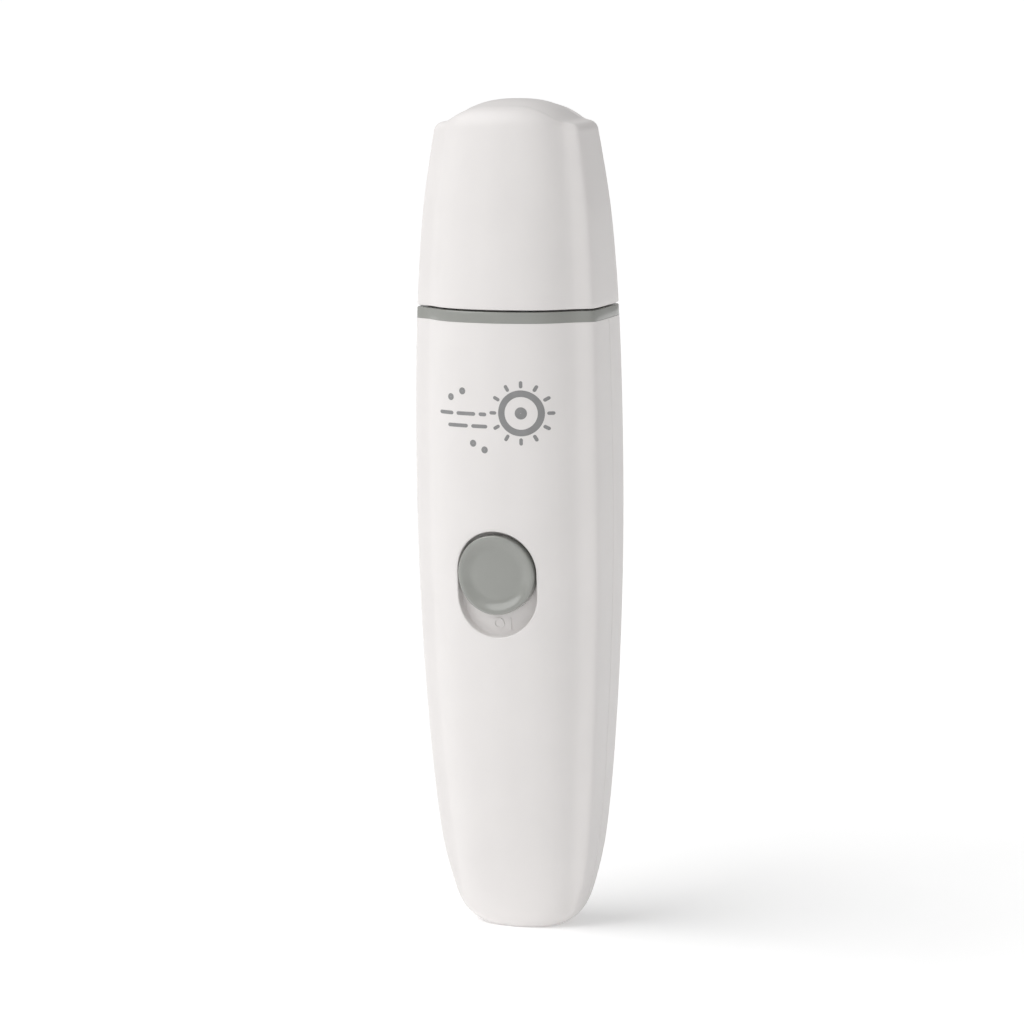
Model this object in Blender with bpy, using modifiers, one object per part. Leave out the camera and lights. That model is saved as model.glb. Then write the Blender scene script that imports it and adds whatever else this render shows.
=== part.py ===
"""Battery nail grinder for pets: a tapered two-shell handle with a slide switch, and a
crosswise emery drum under a nail guard, covered by a pull-off travel cap.

The grinder stands on its flat base: +Z runs up the handle to the cap, the button faces -Y,
and +X is on the right of someone looking at the button. Sizes below are in millimetres.
"""
import bpy
import bmesh
from math import cos, exp, log, pi, radians, sin, sqrt
from mathutils import Matrix, Vector

MM = 0.001
GAP = 0.3                        # clearance between neighbouring pieces

# --- driving dimensions: the outer form -------------------------------------------------
LENGTH = 180.0
# height, half width, half depth of the body's cross-section
STATIONS = ((0, 11.6, 7.7), (8, 14.93, 8.52), (20, 17.48, 11.3), (45, 19.63, 14.2), (75, 20.96, 16.0),
            (103, 21.22, 16.8), (133, 20.66, 16.45), (155, 19.35, 14.9), (170, 17.37, 13.0), (180, 15.6, 11.65))
TONGUE = (0.91, 2.5)             # centre tongue: its half width over the form's, and its superellipse power
TONGUE_FADE = (0.18, 20.99)       # how much wider the tongue gets at the base, and from what height down
SIDE = (1.0, 3.9)                # rails: their depth over the form's half depth, and their power
STRIP = (0.511, 0.940)           # x and y of the flat strip's line, over the half width and half depth
EDGE_SHARPNESS = 50.0            # higher makes the valley and the crease crisper
BASE_ROUND = 5.37                 # height of the rounding into the flat base
BASE_INSET = (4.9, 1.7)          # how far the base's flat lies inside the form, in X and Y
QUADRANT = (0, 12, 19, 22.5, 26, 29.5, 35, 45, 58, 74)          # degrees of the section's points

WALL = 2.0
SHELL_TOP = 133.3
RING_Z = (133.6, 135.7)
CAP_BOTTOM = 136.1
CAP_EDGE = (1.4, 5.4)            # radius between the cap's sides and its top, at the rails and at the tongue
DOME = (12.6, 4.0, 12.0, 3.4)    # half width and fall in X, half depth and fall in Y
DOME_POWER = 2.6
SHOULDER = (12.8, 4.3, 0.25)     # half width, depth below the apex and slope of the shoulders
CAP_TRAVEL = 60.0

# --- driving dimensions: the switch -----------------------------------------------------
RECESS_Z = 77.15
RECESS_HALF = (8.95, 11.5)
RECESS_DEPTH = 2.6
RECESS_FLOOR = 1.2
BUTTON_R = 8.6
BUTTON_DISH = (7.4, 1.15)         # radius, and depth below the rim
BUTTON_RISE = 0.6                # how far the rim stands over the handle
BUTTON_Z = RECESS_Z + RECESS_HALF[1] - 0.8 - BUTTON_R
BUTTON_TRAVEL = 4.7
STEM = 1.8

# --- driving dimensions: the drive ------------------------------------------------------
AXLE_Z = 161.5
AXLE_R = 1.2
BORE_R = AXLE_R + GAP
DRUM_X = (-9.1, 1.4)
DRUM_R = 7.4
MOTOR_X = 4.6
MOTOR_Z = (123.4, 126.5, 148.2)  # end bell's bottom, can's bottom, can's top
MOTOR_R = 10.05
MOTOR_FLAT = 7.55                # half distance over the can's two flats
PINION_TEETH = 8
CROWN_TEETH = 20
TOOTH_PITCH = 1.885
PINION_R = PINION_TEETH * TOOTH_PITCH / (2 * pi)
CROWN_R = (4.8, 7.0)             # inner and outer radius of the crown gear's teeth
CROWN_X = MOTOR_X + PINION_R + 0.6        # root plane of the crown gear's teeth
TOOTH_HEIGHT = 1.2
PINION_Z = (154.6, 156.5)
EAR_X = (11.3, 13.2)
EAR_R = 3.4
DECK_Z = (150.8, 152.2)
NECK_Z = (130.5, 133.2, 150.5)
NECK_OUT, NECK_IN, FLANGE_OUT = 3.2, 4.4, 2.35       # insets from the outer form
GUARD_OUT, GUARD_IN = 3.0, 4.2
NAIL_WINDOW = (-8.6, 1.2, 156.5, 169.0)   # x and z of the opening in the guard

# --- driving dimensions: power ----------------------------------------------------------
CELL_R = 7.0
CELL_LENGTH = 50.2
CELL_X = 7.15
CELL_Y = 0.5
CELL_GAP = 0.3
SPRING_HEIGHT = 3.6
PLATE_Z = 15.3                   # lower face of the bottom contact plate
PLATE_THICK = 0.5
CRADLE_Z = (13.6, 122.9)
CRADLE_Y = -7.5
DOOR_X = 13.0
DOOR_Z = (18.0, 118.0)
DOOR_CORNER = 4.0
DOOR_PIVOT = (10.7, 17.8)        # y and z of the door's tilting edge
SCREW_PLACES = ((17.35, 118.0), (6.0, 8.6))
SCREW_SEAT = 4.6

BODY = bpy.data.collections.new("pet_nail_grinder")
TOOLS = bpy.data.collections.new("cutters")


# --- materials --------------------------------------------------------------------------
def material(name, colour, roughness, metallic=0.0):
    mat = bpy.data.materials.new(name)
    mat.use_nodes = True
    shader = mat.node_tree.nodes["Principled BSDF"]
    shader.inputs["Base Color"].default_value = (*colour, 1.0)
    shader.inputs["Roughness"].default_value = roughness
    shader.inputs["Metallic"].default_value = metallic
    return mat


def make_materials():
    return {
        "white": material("white_plastic", (0.83, 0.81, 0.79), 0.35),
        "grey": material("grey_green_plastic", (0.33, 0.34, 0.31), 0.22),
        "inner": material("natural_plastic", (0.72, 0.70, 0.64), 0.45),
        "black": material("black_plastic", (0.03, 0.03, 0.03), 0.45),
        "emery": material("emery_cloth", (0.24, 0.16, 0.11), 0.95),
        "steel": material("steel", (0.60, 0.60, 0.60), 0.30, 1.0),
        "brass": material("brass", (0.75, 0.56, 0.25), 0.30, 1.0),
        "copper": material("copper_windings", (0.60, 0.25, 0.12), 0.40, 1.0),
        "ferrite": material("ferrite", (0.06, 0.06, 0.06), 0.60),
        "cell": material("cell_jacket", (0.10, 0.12, 0.14), 0.30),
        "rubber": material("rubber", (0.05, 0.05, 0.05), 0.80),
        "board": material("board", (0.20, 0.11, 0.05), 0.60),
        "red": material("red_wire", (0.50, 0.03, 0.02), 0.45),
    }


# --- objects ----------------------------------------------------------------------------
def add_object(name, mesh, mat=None):
    """Put a mesh into the scene: a part when it has a material, else a hidden cutter."""
    obj = bpy.data.objects.new(name, mesh)
    if mat:
        BODY.objects.link(obj)
        mesh.materials.append(mat)
    else:
        TOOLS.objects.link(obj)
        obj.hide_render = True
        obj.display_type = "WIRE"
    return obj


def finish_mesh(name, bm, mat):
    bmesh.ops.recalc_face_normals(bm, faces=bm.faces)
    if bm.calc_volume(signed=True) < 0:
        bmesh.ops.reverse_faces(bm, faces=bm.faces)
    mesh = bpy.data.meshes.new(name)
    bm.to_mesh(mesh)
    bm.free()
    mesh.shade_smooth()
    mesh.set_sharp_from_angle(angle=radians(35))
    return add_object(name, mesh, mat)


def box(name, low, high, mat=None):
    low, high = Vector(low), Vector(high)
    bm = bmesh.new()
    place = Matrix.Translation((low + high) / 2 * MM) @ Matrix.Diagonal(((high - low) * MM).to_4d())
    bmesh.ops.create_cube(bm, size=1.0, matrix=place)
    return finish_mesh(name, bm, mat)


def turned_to(axis):
    """Rotation that takes +Z to the named axis."""
    return {"X": Matrix.Rotation(pi / 2, 4, "Y"), "Y": Matrix.Rotation(-pi / 2, 4, "X"),
            "Z": Matrix.Identity(4)}[axis]


def rod(name, radius, start, length, axis, mat=None, sides=32):
    """Cylinder from start, running along +axis."""
    bm = bmesh.new()
    place = Matrix.Translation(Vector(start) * MM) @ turned_to(axis)
    place = place @ Matrix.Translation((0, 0, length / 2 * MM)) @ Matrix.Rotation(pi / sides, 4, "Z")
    bmesh.ops.create_cone(bm, cap_ends=True, segments=sides, radius1=radius * MM, radius2=radius * MM,
                          depth=length * MM, matrix=place)
    return finish_mesh(name, bm, mat)


def chain(name, rings, mat=None, closed=False):
    """Skin over rings of equal point counts; closed joins the last ring to the first."""
    bm = bmesh.new()
    loops = [[bm.verts.new(Vector(p) * MM) for p in ring] for ring in rings]
    count = len(loops[0])
    pairs = list(zip(loops, loops[1:]))
    if closed:
        pairs.append((loops[-1], loops[0]))
    for low, high in pairs:
        for i in range(count):
            j = (i + 1) % count
            bm.faces.new((low[i], low[j], high[j], high[i]))
    if not closed:
        bm.faces.new(loops[0][::-1])
        bm.faces.new(loops[-1])
    return finish_mesh(name, bm, mat)


def turned(name, profile, centre, axis, mat=None, steps=32):
    """Solid of revolution from (radius, distance along the axis) points, outer side top to bottom."""
    mesh = bpy.data.meshes.new(name)
    on_axis = profile[0][0] == 0
    edges = [(i, i + 1) for i in range(len(profile) - 1)]
    if not on_axis:
        edges.append((len(profile) - 1, 0))
    mesh.from_pydata([(r * MM, 0, z * MM) for r, z in profile], edges, [])
    obj = add_object(name, mesh, mat)
    obj.matrix_world = Matrix.Translation(Vector(centre) * MM) @ turned_to(axis)
    screw = obj.modifiers.new("turn", "SCREW")
    screw.steps = screw.render_steps = steps
    screw.use_merge_vertices = True
    screw.merge_threshold = 0.00001
    screw.use_smooth_shade = True
    return obj


def prism(name, outline, start, end, axis, mat=None):
    """Flat outline extruded from start to end along the axis. The outline's plane is XY, or XZ when
    the axis is Y."""
    curve = bpy.data.curves.new(name, "CURVE")
    curve.dimensions = "2D"
    curve.fill_mode = "BOTH"
    curve.extrude = (end - start) / 2 * MM
    spline = curve.splines.new("POLY")
    spline.points.add(len(outline) - 1)
    for point, (u, v) in zip(spline.points, outline):
        point.co = (u * MM, v * MM, 0, 1)
    spline.use_cyclic_u = True
    holder = bpy.data.objects.new(name, curve)
    TOOLS.objects.link(holder)
    bpy.context.view_layer.update()
    bm = bmesh.new()
    bm.from_mesh(holder.evaluated_get(bpy.context.evaluated_depsgraph_get()).to_mesh())
    bpy.data.objects.remove(holder)
    bmesh.ops.remove_doubles(bm, verts=bm.verts, dist=1e-6)
    middle = (start + end) / 2 * MM
    if axis == "Y":
        place = Matrix.Translation((0, middle, 0)) @ Matrix.Rotation(pi / 2, 4, "X")
    else:
        place = Matrix.Translation((0, 0, middle))
    bmesh.ops.transform(bm, matrix=place, verts=bm.verts)
    return finish_mesh(name, bm, mat)


def boolean(target, other, operation="DIFFERENCE"):
    modifier = target.modifiers.new(operation.lower(), "BOOLEAN")
    modifier.operation = operation
    modifier.object = other
    modifier.solver = "EXACT"
    return target


def smooth_path(points, per_span=4):
    """Points of a Catmull-Rom curve through the given ones."""
    ends = [points[0], *points, points[-1]]
    path = []
    for i in range(1, len(ends) - 2):
        a, b, c, d = (Vector(p) for p in ends[i - 1:i + 3])
        for k in range(per_span):
            t = k / per_span
            path.append(0.5 * (2 * b + (c - a) * t + (2 * a - 5 * b + 4 * c - d) * t ** 2
                               + (3 * b - a - 3 * c + d) * t ** 3))
    return path + [Vector(points[-1])]


def wire(name, points, radius, mat):
    curve = bpy.data.curves.new(name, "CURVE")
    curve.dimensions = "3D"
    curve.bevel_depth = radius * MM
    curve.bevel_resolution = 1
    curve.use_fill_caps = True
    spline = curve.splines.new("POLY")
    spline.points.add(len(points) - 1)
    for point, place in zip(spline.points, points):
        point.co = (*(Vector(place) * MM), 1)
    curve.materials.append(mat)
    obj = bpy.data.objects.new(name, curve)
    BODY.objects.link(obj)
    return obj


# --- the outer form ---------------------------------------------------------------------
def station(z, column):
    """Smooth curve through the stations' widths (column 1) or depths (column 2)."""
    z = min(max(z, STATIONS[0][0]), STATIONS[-1][0])
    i = next(k for k in range(len(STATIONS) - 1) if z <= STATIONS[k + 1][0])

    def slope(k):
        k = min(max(k, 1), len(STATIONS) - 2)
        before, here, after = STATIONS[k - 1], STATIONS[k], STATIONS[k + 1]
        return (after[column] - before[column]) / (after[0] - before[0])

    step = STATIONS[i + 1][0] - STATIONS[i][0]
    t = (z - STATIONS[i][0]) / step
    return ((2 * t ** 3 - 3 * t ** 2 + 1) * STATIONS[i][column] + (t ** 3 - 2 * t ** 2 + t) * step * slope(i)
            + (3 * t ** 2 - 2 * t ** 3) * STATIONS[i + 1][column] + (t ** 3 - t ** 2) * step * slope(i + 1))


def form_radius(angle, z, inset=0.0):
    """Distance from the axis to the form, a given distance inside it: a tongue down the middle of
    the front and back, with a rail along each side."""
    shrink = 1 - sqrt(1 - max(0.0, 1 - max(z - inset, 0.0) / (BASE_ROUND - inset)) ** 2) if z < BASE_ROUND else 0.0
    half_width = station(z, 1) - inset - BASE_INSET[0] * shrink
    half_depth = station(z, 2) - inset - BASE_INSET[1] * shrink
    c, s = abs(cos(angle)), abs(sin(angle))
    spread = TONGUE[0] + TONGUE_FADE[0] * max(0.0, 1 - z / TONGUE_FADE[1]) ** 2
    tongue = ((c / (spread * half_width)) ** TONGUE[1] + (s / half_depth) ** TONGUE[1]) ** (-1 / TONGUE[1])
    strip = 1 / (STRIP[0] * c / half_width + STRIP[1] * s / half_depth)
    side = ((c / half_width) ** SIDE[1] + (s / (SIDE[0] * half_depth)) ** SIDE[1]) ** (-1 / SIDE[1])
    k = EDGE_SHARPNESS
    rail = (strip ** -k + side ** -k) ** (-1 / k)
    return tongue * (1 + (rail / tongue) ** k) ** (1 / k)


def section_angles():
    first = [radians(a) for a in QUADRANT]
    second = [pi - a for a in first[:0:-1]]
    half = first + [pi / 2] + second
    return half + [a + pi for a in half]


ANGLES = section_angles()


def form_ring(z, inset=0.0):
    return [(form_radius(a, z, inset) * cos(a), form_radius(a, z, inset) * sin(a), z) for a in ANGLES]


def form_solid(name, inset, low, high, mat=None, heights=()):
    return chain(name, [form_ring(z, inset) for z in (low, *heights, high)], mat)


HANDLE_HEIGHTS = (0.6, 2.2, 5, 11, 19, 29, 42, 56, 72, 88, 104, 120)


def handle_solid(name, inset, top=SHELL_TOP):
    heights = [z for z in HANDLE_HEIGHTS if z > inset + 0.2]
    return form_solid(name, inset, inset, top, None, heights)


def cap_height(x, y):
    """The cap's top: a dome over the tongue, running into lower shoulders over the rails."""
    dome = LENGTH - DOME[1] * (abs(x) / DOME[0]) ** DOME_POWER - DOME[3] * (abs(y) / DOME[2]) ** DOME_POWER
    shoulder = LENGTH - SHOULDER[1] - SHOULDER[2] * log(1 + exp(abs(x) - SHOULDER[0]))
    blend = 0.25
    high, low = max(dome, shoulder), min(dome, shoulder)
    return high + blend * log(1 + exp((low - high) / blend))


def cap_rings(inset, bottom, side_rings, edge_rings=2, top_rings=3):
    """Rings up the cap's sides, round its top edge and in over its top, a distance inside it."""
    columns = []
    for a in ANGLES:
        t = min(max((abs(sin(a)) - 0.50) / 0.35, 0.0), 1.0)
        edge = max(CAP_EDGE[0] + (CAP_EDGE[1] - CAP_EDGE[0]) * t * t * (3 - 2 * t) - inset, 0.8)
        shoulder_z = LENGTH - 8.0
        reach = form_radius(a, shoulder_z, inset) - edge
        for _ in range(3):
            rim = cap_height(reach * cos(a), reach * sin(a)) - inset - edge
            reach = form_radius(a, rim, inset) - edge
        column = []
        for k in range(side_rings + 1):
            z = bottom + (rim - bottom) * k / side_rings
            column.append((form_radius(a, z, inset), z))
        for k in range(1, edge_rings + 1):
            turn = pi / 2 * k / edge_rings
            column.append((reach + edge * cos(turn), rim + edge * sin(turn)))
        for k in range(1, top_rings + 1):
            r = reach * (1 - 0.97 * k / top_rings)
            column.append((r, cap_height(r * cos(a), r * sin(a)) - inset))
        columns.append(column)
    count = len(columns[0])
    return [[(columns[i][k][0] * cos(a), columns[i][k][0] * sin(a), columns[i][k][1])
             for i, a in enumerate(ANGLES)] for k in range(count)]


def dome_shell(name, outer_inset, inner_inset, bottom, side_rings, mat):
    outer = cap_rings(outer_inset, bottom, side_rings)
    inner = cap_rings(inner_inset, bottom, side_rings)
    return chain(name, inner[::-1] + outer, mat)


def sleeve(name, outer_inset, inner_inset, heights, mat):
    """Tube that follows the form between two insets."""
    outer = [form_ring(z, outer_inset) for z in heights]
    inner = [form_ring(z, inner_inset) for z in heights[::-1]]
    return chain(name, outer + inner, mat, closed=True)


# --- outlines ---------------------------------------------------------------------------
def stadium(half_width, half_height, centre_z, grow=0.0, steps=11):
    radius = half_width + grow
    straight = half_height - half_width
    points = []
    for sign in (1, -1):
        for k in range(steps + 1):
            a = pi * k / steps + (0 if sign > 0 else pi)
            points.append((radius * cos(a), centre_z + sign * straight + radius * sin(a)))
    return points


def rounded_rectangle(half_width, low, high, corner, steps=5):
    points = []
    for cx, cz, start in ((1, high, 0), (-1, high, 90), (-1, low, 180), (1, low, 270)):
        centre_x = cx * (half_width - corner)
        centre_z = cz - corner if cz == high else cz + corner
        for k in range(steps + 1):
            a = radians(start + 90 * k / steps)
            points.append((centre_x + corner * cos(a), centre_z + corner * sin(a)))
    return points


def arc_band(inner, outer, centre_x, middle, half_angle, steps=8):
    """Outline of a curved bar between two radii."""
    turns = [middle + half_angle * (2 * k / steps - 1) for k in range(steps + 1)]
    outside = [(centre_x + outer * cos(a), outer * sin(a)) for a in turns]
    inside = [(centre_x + inner * cos(a), inner * sin(a)) for a in reversed(turns)]
    return outside + inside


# --- handle -----------------------------------------------------------------------------
def half_shell(name, mat, front):
    """Outer skin of the handle, cut at the parting plane."""
    shell = handle_solid(name, 0.0)
    TOOLS.objects.unlink(shell)
    BODY.objects.link(shell)
    shell.hide_render = False
    shell.display_type = "TEXTURED"
    shell.data.materials.append(mat)
    boolean(shell, handle_solid(name + "_hollow", WALL, SHELL_TOP + 5))
    span = (-40, -GAP / 2) if front else (GAP / 2, 40)
    boolean(shell, box(name + "_side", (-40, span[0], -5), (40, span[1], 150)), "INTERSECT")
    return shell


def screw_points():
    for x, z in SCREW_PLACES:
        yield x, z
        yield -x, z


def front_shell(mat):
    shell = half_shell("front_shell", mat, True)
    pan = prism("switch_pan", stadium(*RECESS_HALF, RECESS_Z, grow=1.5), -25, -8, "Y")
    boolean(pan, handle_solid("pan_skin", 0.9), "INTERSECT")
    boolean(pan, handle_solid("pan_inside", RECESS_DEPTH + RECESS_FLOOR))
    boolean(shell, pan, "UNION")
    well = prism("switch_well", stadium(*RECESS_HALF, RECESS_Z), -25, -8, "Y")
    boolean(well, handle_solid("well_floor", RECESS_DEPTH))
    boolean(shell, well)
    side, low, high = STEM + 0.5, BUTTON_Z - BUTTON_TRAVEL - STEM - 0.4, BUTTON_Z + STEM + 0.4
    boolean(shell, box("stem_slit", (-side, -25, low), (side, -8, high)))
    for x, z in screw_points():
        boss = rod("front_boss", 2.3, (x, -12, z), 12 - GAP / 2, "Y", sides=20)
        boolean(boss, handle_solid("boss_skin", 0.9), "INTERSECT")
        boolean(shell, boss, "UNION")
        boolean(shell, rod("front_pilot", 1.1 + GAP, (x, -6.2, z), 12, "Y", sides=16))
    return shell


def rear_shell(mat):
    shell = half_shell("rear_shell", mat, False)
    for x, z in screw_points():
        boss = rod("rear_boss", 2.75, (x, GAP / 2, z), 14, "Y", sides=20)
        boolean(boss, handle_solid("boss_skin", 0.9), "INTERSECT")
        boolean(shell, boss, "UNION")
        boolean(shell, rod("rear_hole", 1.1 + GAP, (x, -5, z), 20, "Y", sides=16))
        boolean(shell, rod("counterbore", 1.9 + GAP, (x, SCREW_SEAT, z), 20, "Y", sides=20))
    reach = GAP + 0.05
    outline = rounded_rectangle(DOOR_X + reach, DOOR_Z[0] - reach, DOOR_Z[1] + reach, DOOR_CORNER)
    boolean(shell, prism("door_opening", outline, 3, 30, "Y"))
    return shell


def battery_door(mat):
    """Rear cover, cut out of the same skin as the shell, with a lug hooked behind its lower edge."""
    door = prism("battery_door", rounded_rectangle(DOOR_X, *DOOR_Z, DOOR_CORNER), 3, 30, "Y", mat)
    boolean(door, handle_solid("door_skin", 0.0), "INTERSECT")
    boolean(door, handle_solid("door_inside", WALL))
    boolean(door, box("door_lug_up", (-1.3, 5.9, DOOR_Z[0] + 0.4), (1.3, 9.9, DOOR_Z[0] + 2.4)), "UNION")
    boolean(door, box("door_lug_down", (-1.3, 5.9, DOOR_Z[0] - 3.4), (1.3, 7.2, DOOR_Z[0] + 2.2)), "UNION")
    return door


def casing_screws(mat):
    """Pan-head screws, put in from the back."""
    profile = ((0, 1.5), (1.3, 1.5), (1.9, 0.9), (1.9, 0), (1.1, 0), (1.1, -10.2), (0, -11.0))
    for number, (x, z) in enumerate(screw_points(), 1):
        turned(f"casing_screw_{number}", profile, (x, SCREW_SEAT + GAP, z), "Y", mat, steps=16)


# --- switch -----------------------------------------------------------------------------
def switch_button(mat):
    """Dished thumb button whose face follows the handle's curve, with a stem through the slit."""
    button = rod("switch_button", BUTTON_R, (0, -25, BUTTON_Z), 20, "Y", mat, sides=48)
    boolean(button, form_solid("button_face", -BUTTON_RISE, 40, 120, None, (56, 64, 72, 80, 88, 104)), "INTERSECT")
    boolean(button, handle_solid("button_back", RECESS_DEPTH - GAP - 0.1))
    dish = rod("button_dish", BUTTON_DISH[0], (0, -25, BUTTON_Z), 20, "Y", sides=48)
    boolean(dish, handle_solid("dish_floor", BUTTON_DISH[1] - BUTTON_RISE))
    boolean(button, dish)
    stem = box("button_stem", (-STEM, -14.6, BUTTON_Z - STEM), (STEM, -11.7, BUTTON_Z + STEM))
    return boolean(button, stem, "UNION")


def switch_parts(mats):
    z = BUTTON_Z
    box("switch_carriage", (-5, -11.4, z - 5), (5, -10.4, z + 5), mats["black"])
    box("switch_wiper", (-4, -10.1, z - 3), (4, -9.8, z + 3), mats["brass"])
    low, high = z - BUTTON_TRAVEL - 6, z + 6
    box("switch_contact_left", (-3.6, -9.5, low), (-1.0, -9.2, high - 8), mats["brass"])
    box("switch_contact_right", (1.0, -9.5, low), (3.6, -9.2, high - 8), mats["brass"])
    box("switch_board", (-7, -8.9, low - 2), (7, -7.8, high + 2), mats["board"])


# --- power ------------------------------------------------------------------------------
def power_parts(mats):
    low = PLATE_Z + PLATE_THICK + GAP
    left, right = low + SPRING_HEIGHT + GAP, low
    nub = 1.0
    profile = ((0, CELL_LENGTH), (2.7, CELL_LENGTH), (2.7, CELL_LENGTH - nub), (CELL_R - 0.5, CELL_LENGTH - nub),
               (CELL_R, CELL_LENGTH - nub - 0.5), (CELL_R, 0.5), (CELL_R - 0.5, 0), (0, 0))
    flipped = tuple((r, CELL_LENGTH - z) for r, z in reversed(profile))
    for number in (0, 1):
        rise = number * (CELL_LENGTH + CELL_GAP)
        turned(f"cell_{number + 1}", profile, (-CELL_X, CELL_Y, left + rise), "Z", mats["cell"], steps=20)
        turned(f"cell_{number + 3}", flipped, (CELL_X, CELL_Y, right + rise), "Z", mats["cell"], steps=20)
    top = left + 2 * CELL_LENGTH + CELL_GAP + GAP
    box("bottom_contact_plate", (-12, -4, PLATE_Z), (12, 5, PLATE_Z + PLATE_THICK), mats["steel"])
    box("top_contact_plate_left", (-12, -4, top), (-2, 5, top + PLATE_THICK), mats["steel"])
    box("top_contact_plate_right", (2, -4, top), (12, 5, top + PLATE_THICK), mats["steel"])
    coil_spring("bottom_contact_spring", -CELL_X, low, SPRING_HEIGHT, mats["steel"])
    coil_spring("top_contact_spring", CELL_X, top - GAP - SPRING_HEIGHT, SPRING_HEIGHT, mats["steel"])
    battery_cradle(mats["inner"], top)


def coil_spring(name, x, z, height, mat, turns=3, per_turn=8, wire_r=0.3, radius=3.2):
    steps = turns * per_turn
    points = []
    for k in range(steps + 1):
        a = 2 * pi * k / per_turn
        rise = wire_r + (height - 2 * wire_r) * k / steps
        points.append((x + radius * cos(a), CELL_Y + radius * sin(a), z + rise))
    return wire(name, points, wire_r, mat)


def battery_cradle(mat, top):
    """Tray with two troughs in front of the cells and a wall at each end."""
    cradle = box("battery_cradle", (-14.4, CRADLE_Y, CRADLE_Z[0]), (14.4, 5.3, CRADLE_Z[1]), mat)
    boolean(cradle, form_solid("cradle_room", WALL + GAP + 0.1, 5, 130, None, (9, 14, 20, 30, 45, 60, 75, 103)),
            "INTERSECT")
    boolean(cradle, box("cradle_back", (-20, 1.2, PLATE_Z - 0.2), (20, 20, top + PLATE_THICK + GAP)))
    for x in (-CELL_X, CELL_X):
        boolean(cradle, rod("cradle_trough", CELL_R + GAP, (x, CELL_Y, PLATE_Z - GAP),
                            top + PLATE_THICK + 2 * GAP - PLATE_Z, "Z"))
    boolean(cradle, box("cradle_middle", (-6, -4.6, PLATE_Z - GAP), (6, 8, PLATE_Z + PLATE_THICK + GAP)))
    boolean(cradle, box("cradle_top", (-13, -4.6, top - GAP), (13, 8, top + PLATE_THICK + GAP)))
    return cradle


# --- motor ------------------------------------------------------------------------------
def motor_can(mat):
    can = rod("motor_can", MOTOR_R, (MOTOR_X, 0, MOTOR_Z[1]), MOTOR_Z[2] - MOTOR_Z[1], "Z", mat, sides=40)
    flats = box("can_flats", (-20, -MOTOR_FLAT, 120), (30, MOTOR_FLAT, 155))
    boolean(can, flats, "INTERSECT")
    wall = 0.6
    hollow = rod("can_hollow", MOTOR_R - wall, (MOTOR_X, 0, 120), MOTOR_Z[2] - wall - 120, "Z", sides=40)
    boolean(hollow, box("hollow_flats", (-20, wall - MOTOR_FLAT, 119), (30, MOTOR_FLAT - wall, 155)), "INTERSECT")
    boolean(can, hollow)
    return boolean(can, rod("can_hole", 1.4, (MOTOR_X, 0, 140), 20, "Z", sides=20))


def motor_parts(mats):
    motor_can(mats["steel"])
    bell = rod("motor_end_bell", MOTOR_R - 0.1, (MOTOR_X, 0, MOTOR_Z[0]), MOTOR_Z[1] - MOTOR_Z[0] - GAP, "Z",
               mats["black"], sides=40)
    boolean(bell, box("bell_flats", (-20, 0.1 - MOTOR_FLAT, 120), (30, MOTOR_FLAT - 0.1, 155)), "INTERSECT")
    boolean(bell, rod("bell_hole", 1.3, (MOTOR_X, 0, 120), 20, "Z", sides=20))
    for side, middle in (("left", pi), ("right", 0.0)):
        prism(f"motor_magnet_{side}", arc_band(6.5, 9.1, MOTOR_X, middle, radians(42)), 129, 143, "Z", mats["ferrite"])
    for side, y in (("front", -1), ("rear", 1)):
        low, high = sorted((y * (MOTOR_FLAT + 0.2), y * (MOTOR_FLAT + 0.6)))
        box(f"motor_terminal_{side}", (MOTOR_X - 1.2, low, 120.6), (MOTOR_X + 1.2, high, 126.0), mats["brass"])
    clamp = form_solid("motor_clamp", NECK_IN + GAP, 134, 142, mats["inner"])
    room = rod("clamp_room", MOTOR_R + GAP, (MOTOR_X, 0, 120), 40, "Z", sides=40)
    boolean(room, box("room_flats", (-20, -MOTOR_FLAT - GAP, 119), (30, MOTOR_FLAT + GAP, 161)), "INTERSECT")
    boolean(clamp, room)


def rotor(mats):
    turned("motor_shaft", ((0, 157.2), (0.7, 157.2), (1.0, 156.9), (1.0, 124.4), (0, 124.4)), (MOTOR_X, 0, 0), "Z",
           mats["steel"], steps=20)
    turned("motor_armature", ((1.3, 142.5), (5.9, 142.5), (5.9, 129.5), (1.3, 129.5)), (MOTOR_X, 0, 0), "Z",
           mats["copper"], steps=24)
    turned("motor_commutator", ((1.3, 129.2), (2.6, 129.2), (2.6, 126.8), (1.3, 126.8)), (MOTOR_X, 0, 0), "Z",
           mats["brass"], steps=20)
    pinion(mats["brass"])


def tooth_outline(teeth, root, tip, root_width, tip_width):
    """Points of a small spur gear with one tooth pointing along +X."""
    points = []
    for k in range(teeth):
        middle = 2 * pi * k / teeth
        for radius, width in ((root, -root_width), (tip, -tip_width), (tip, tip_width), (root, root_width)):
            turn = middle + width / 2 / radius
            points.append((radius * cos(turn), radius * sin(turn)))
    return points


def pinion(mat):
    outline = tooth_outline(PINION_TEETH, PINION_R - 0.75, PINION_R + 0.36, 0.75, 0.36)
    bore = [(1.3 * Vector(p).normalized()) for p in outline]
    rings = []
    for points, z in ((outline, PINION_Z[0]), (outline, PINION_Z[1]), (bore, PINION_Z[1]), (bore, PINION_Z[0])):
        rings.append([(MOTOR_X + p[0], p[1], z) for p in points])
    return chain("pinion", rings, mat, closed=True)


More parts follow.
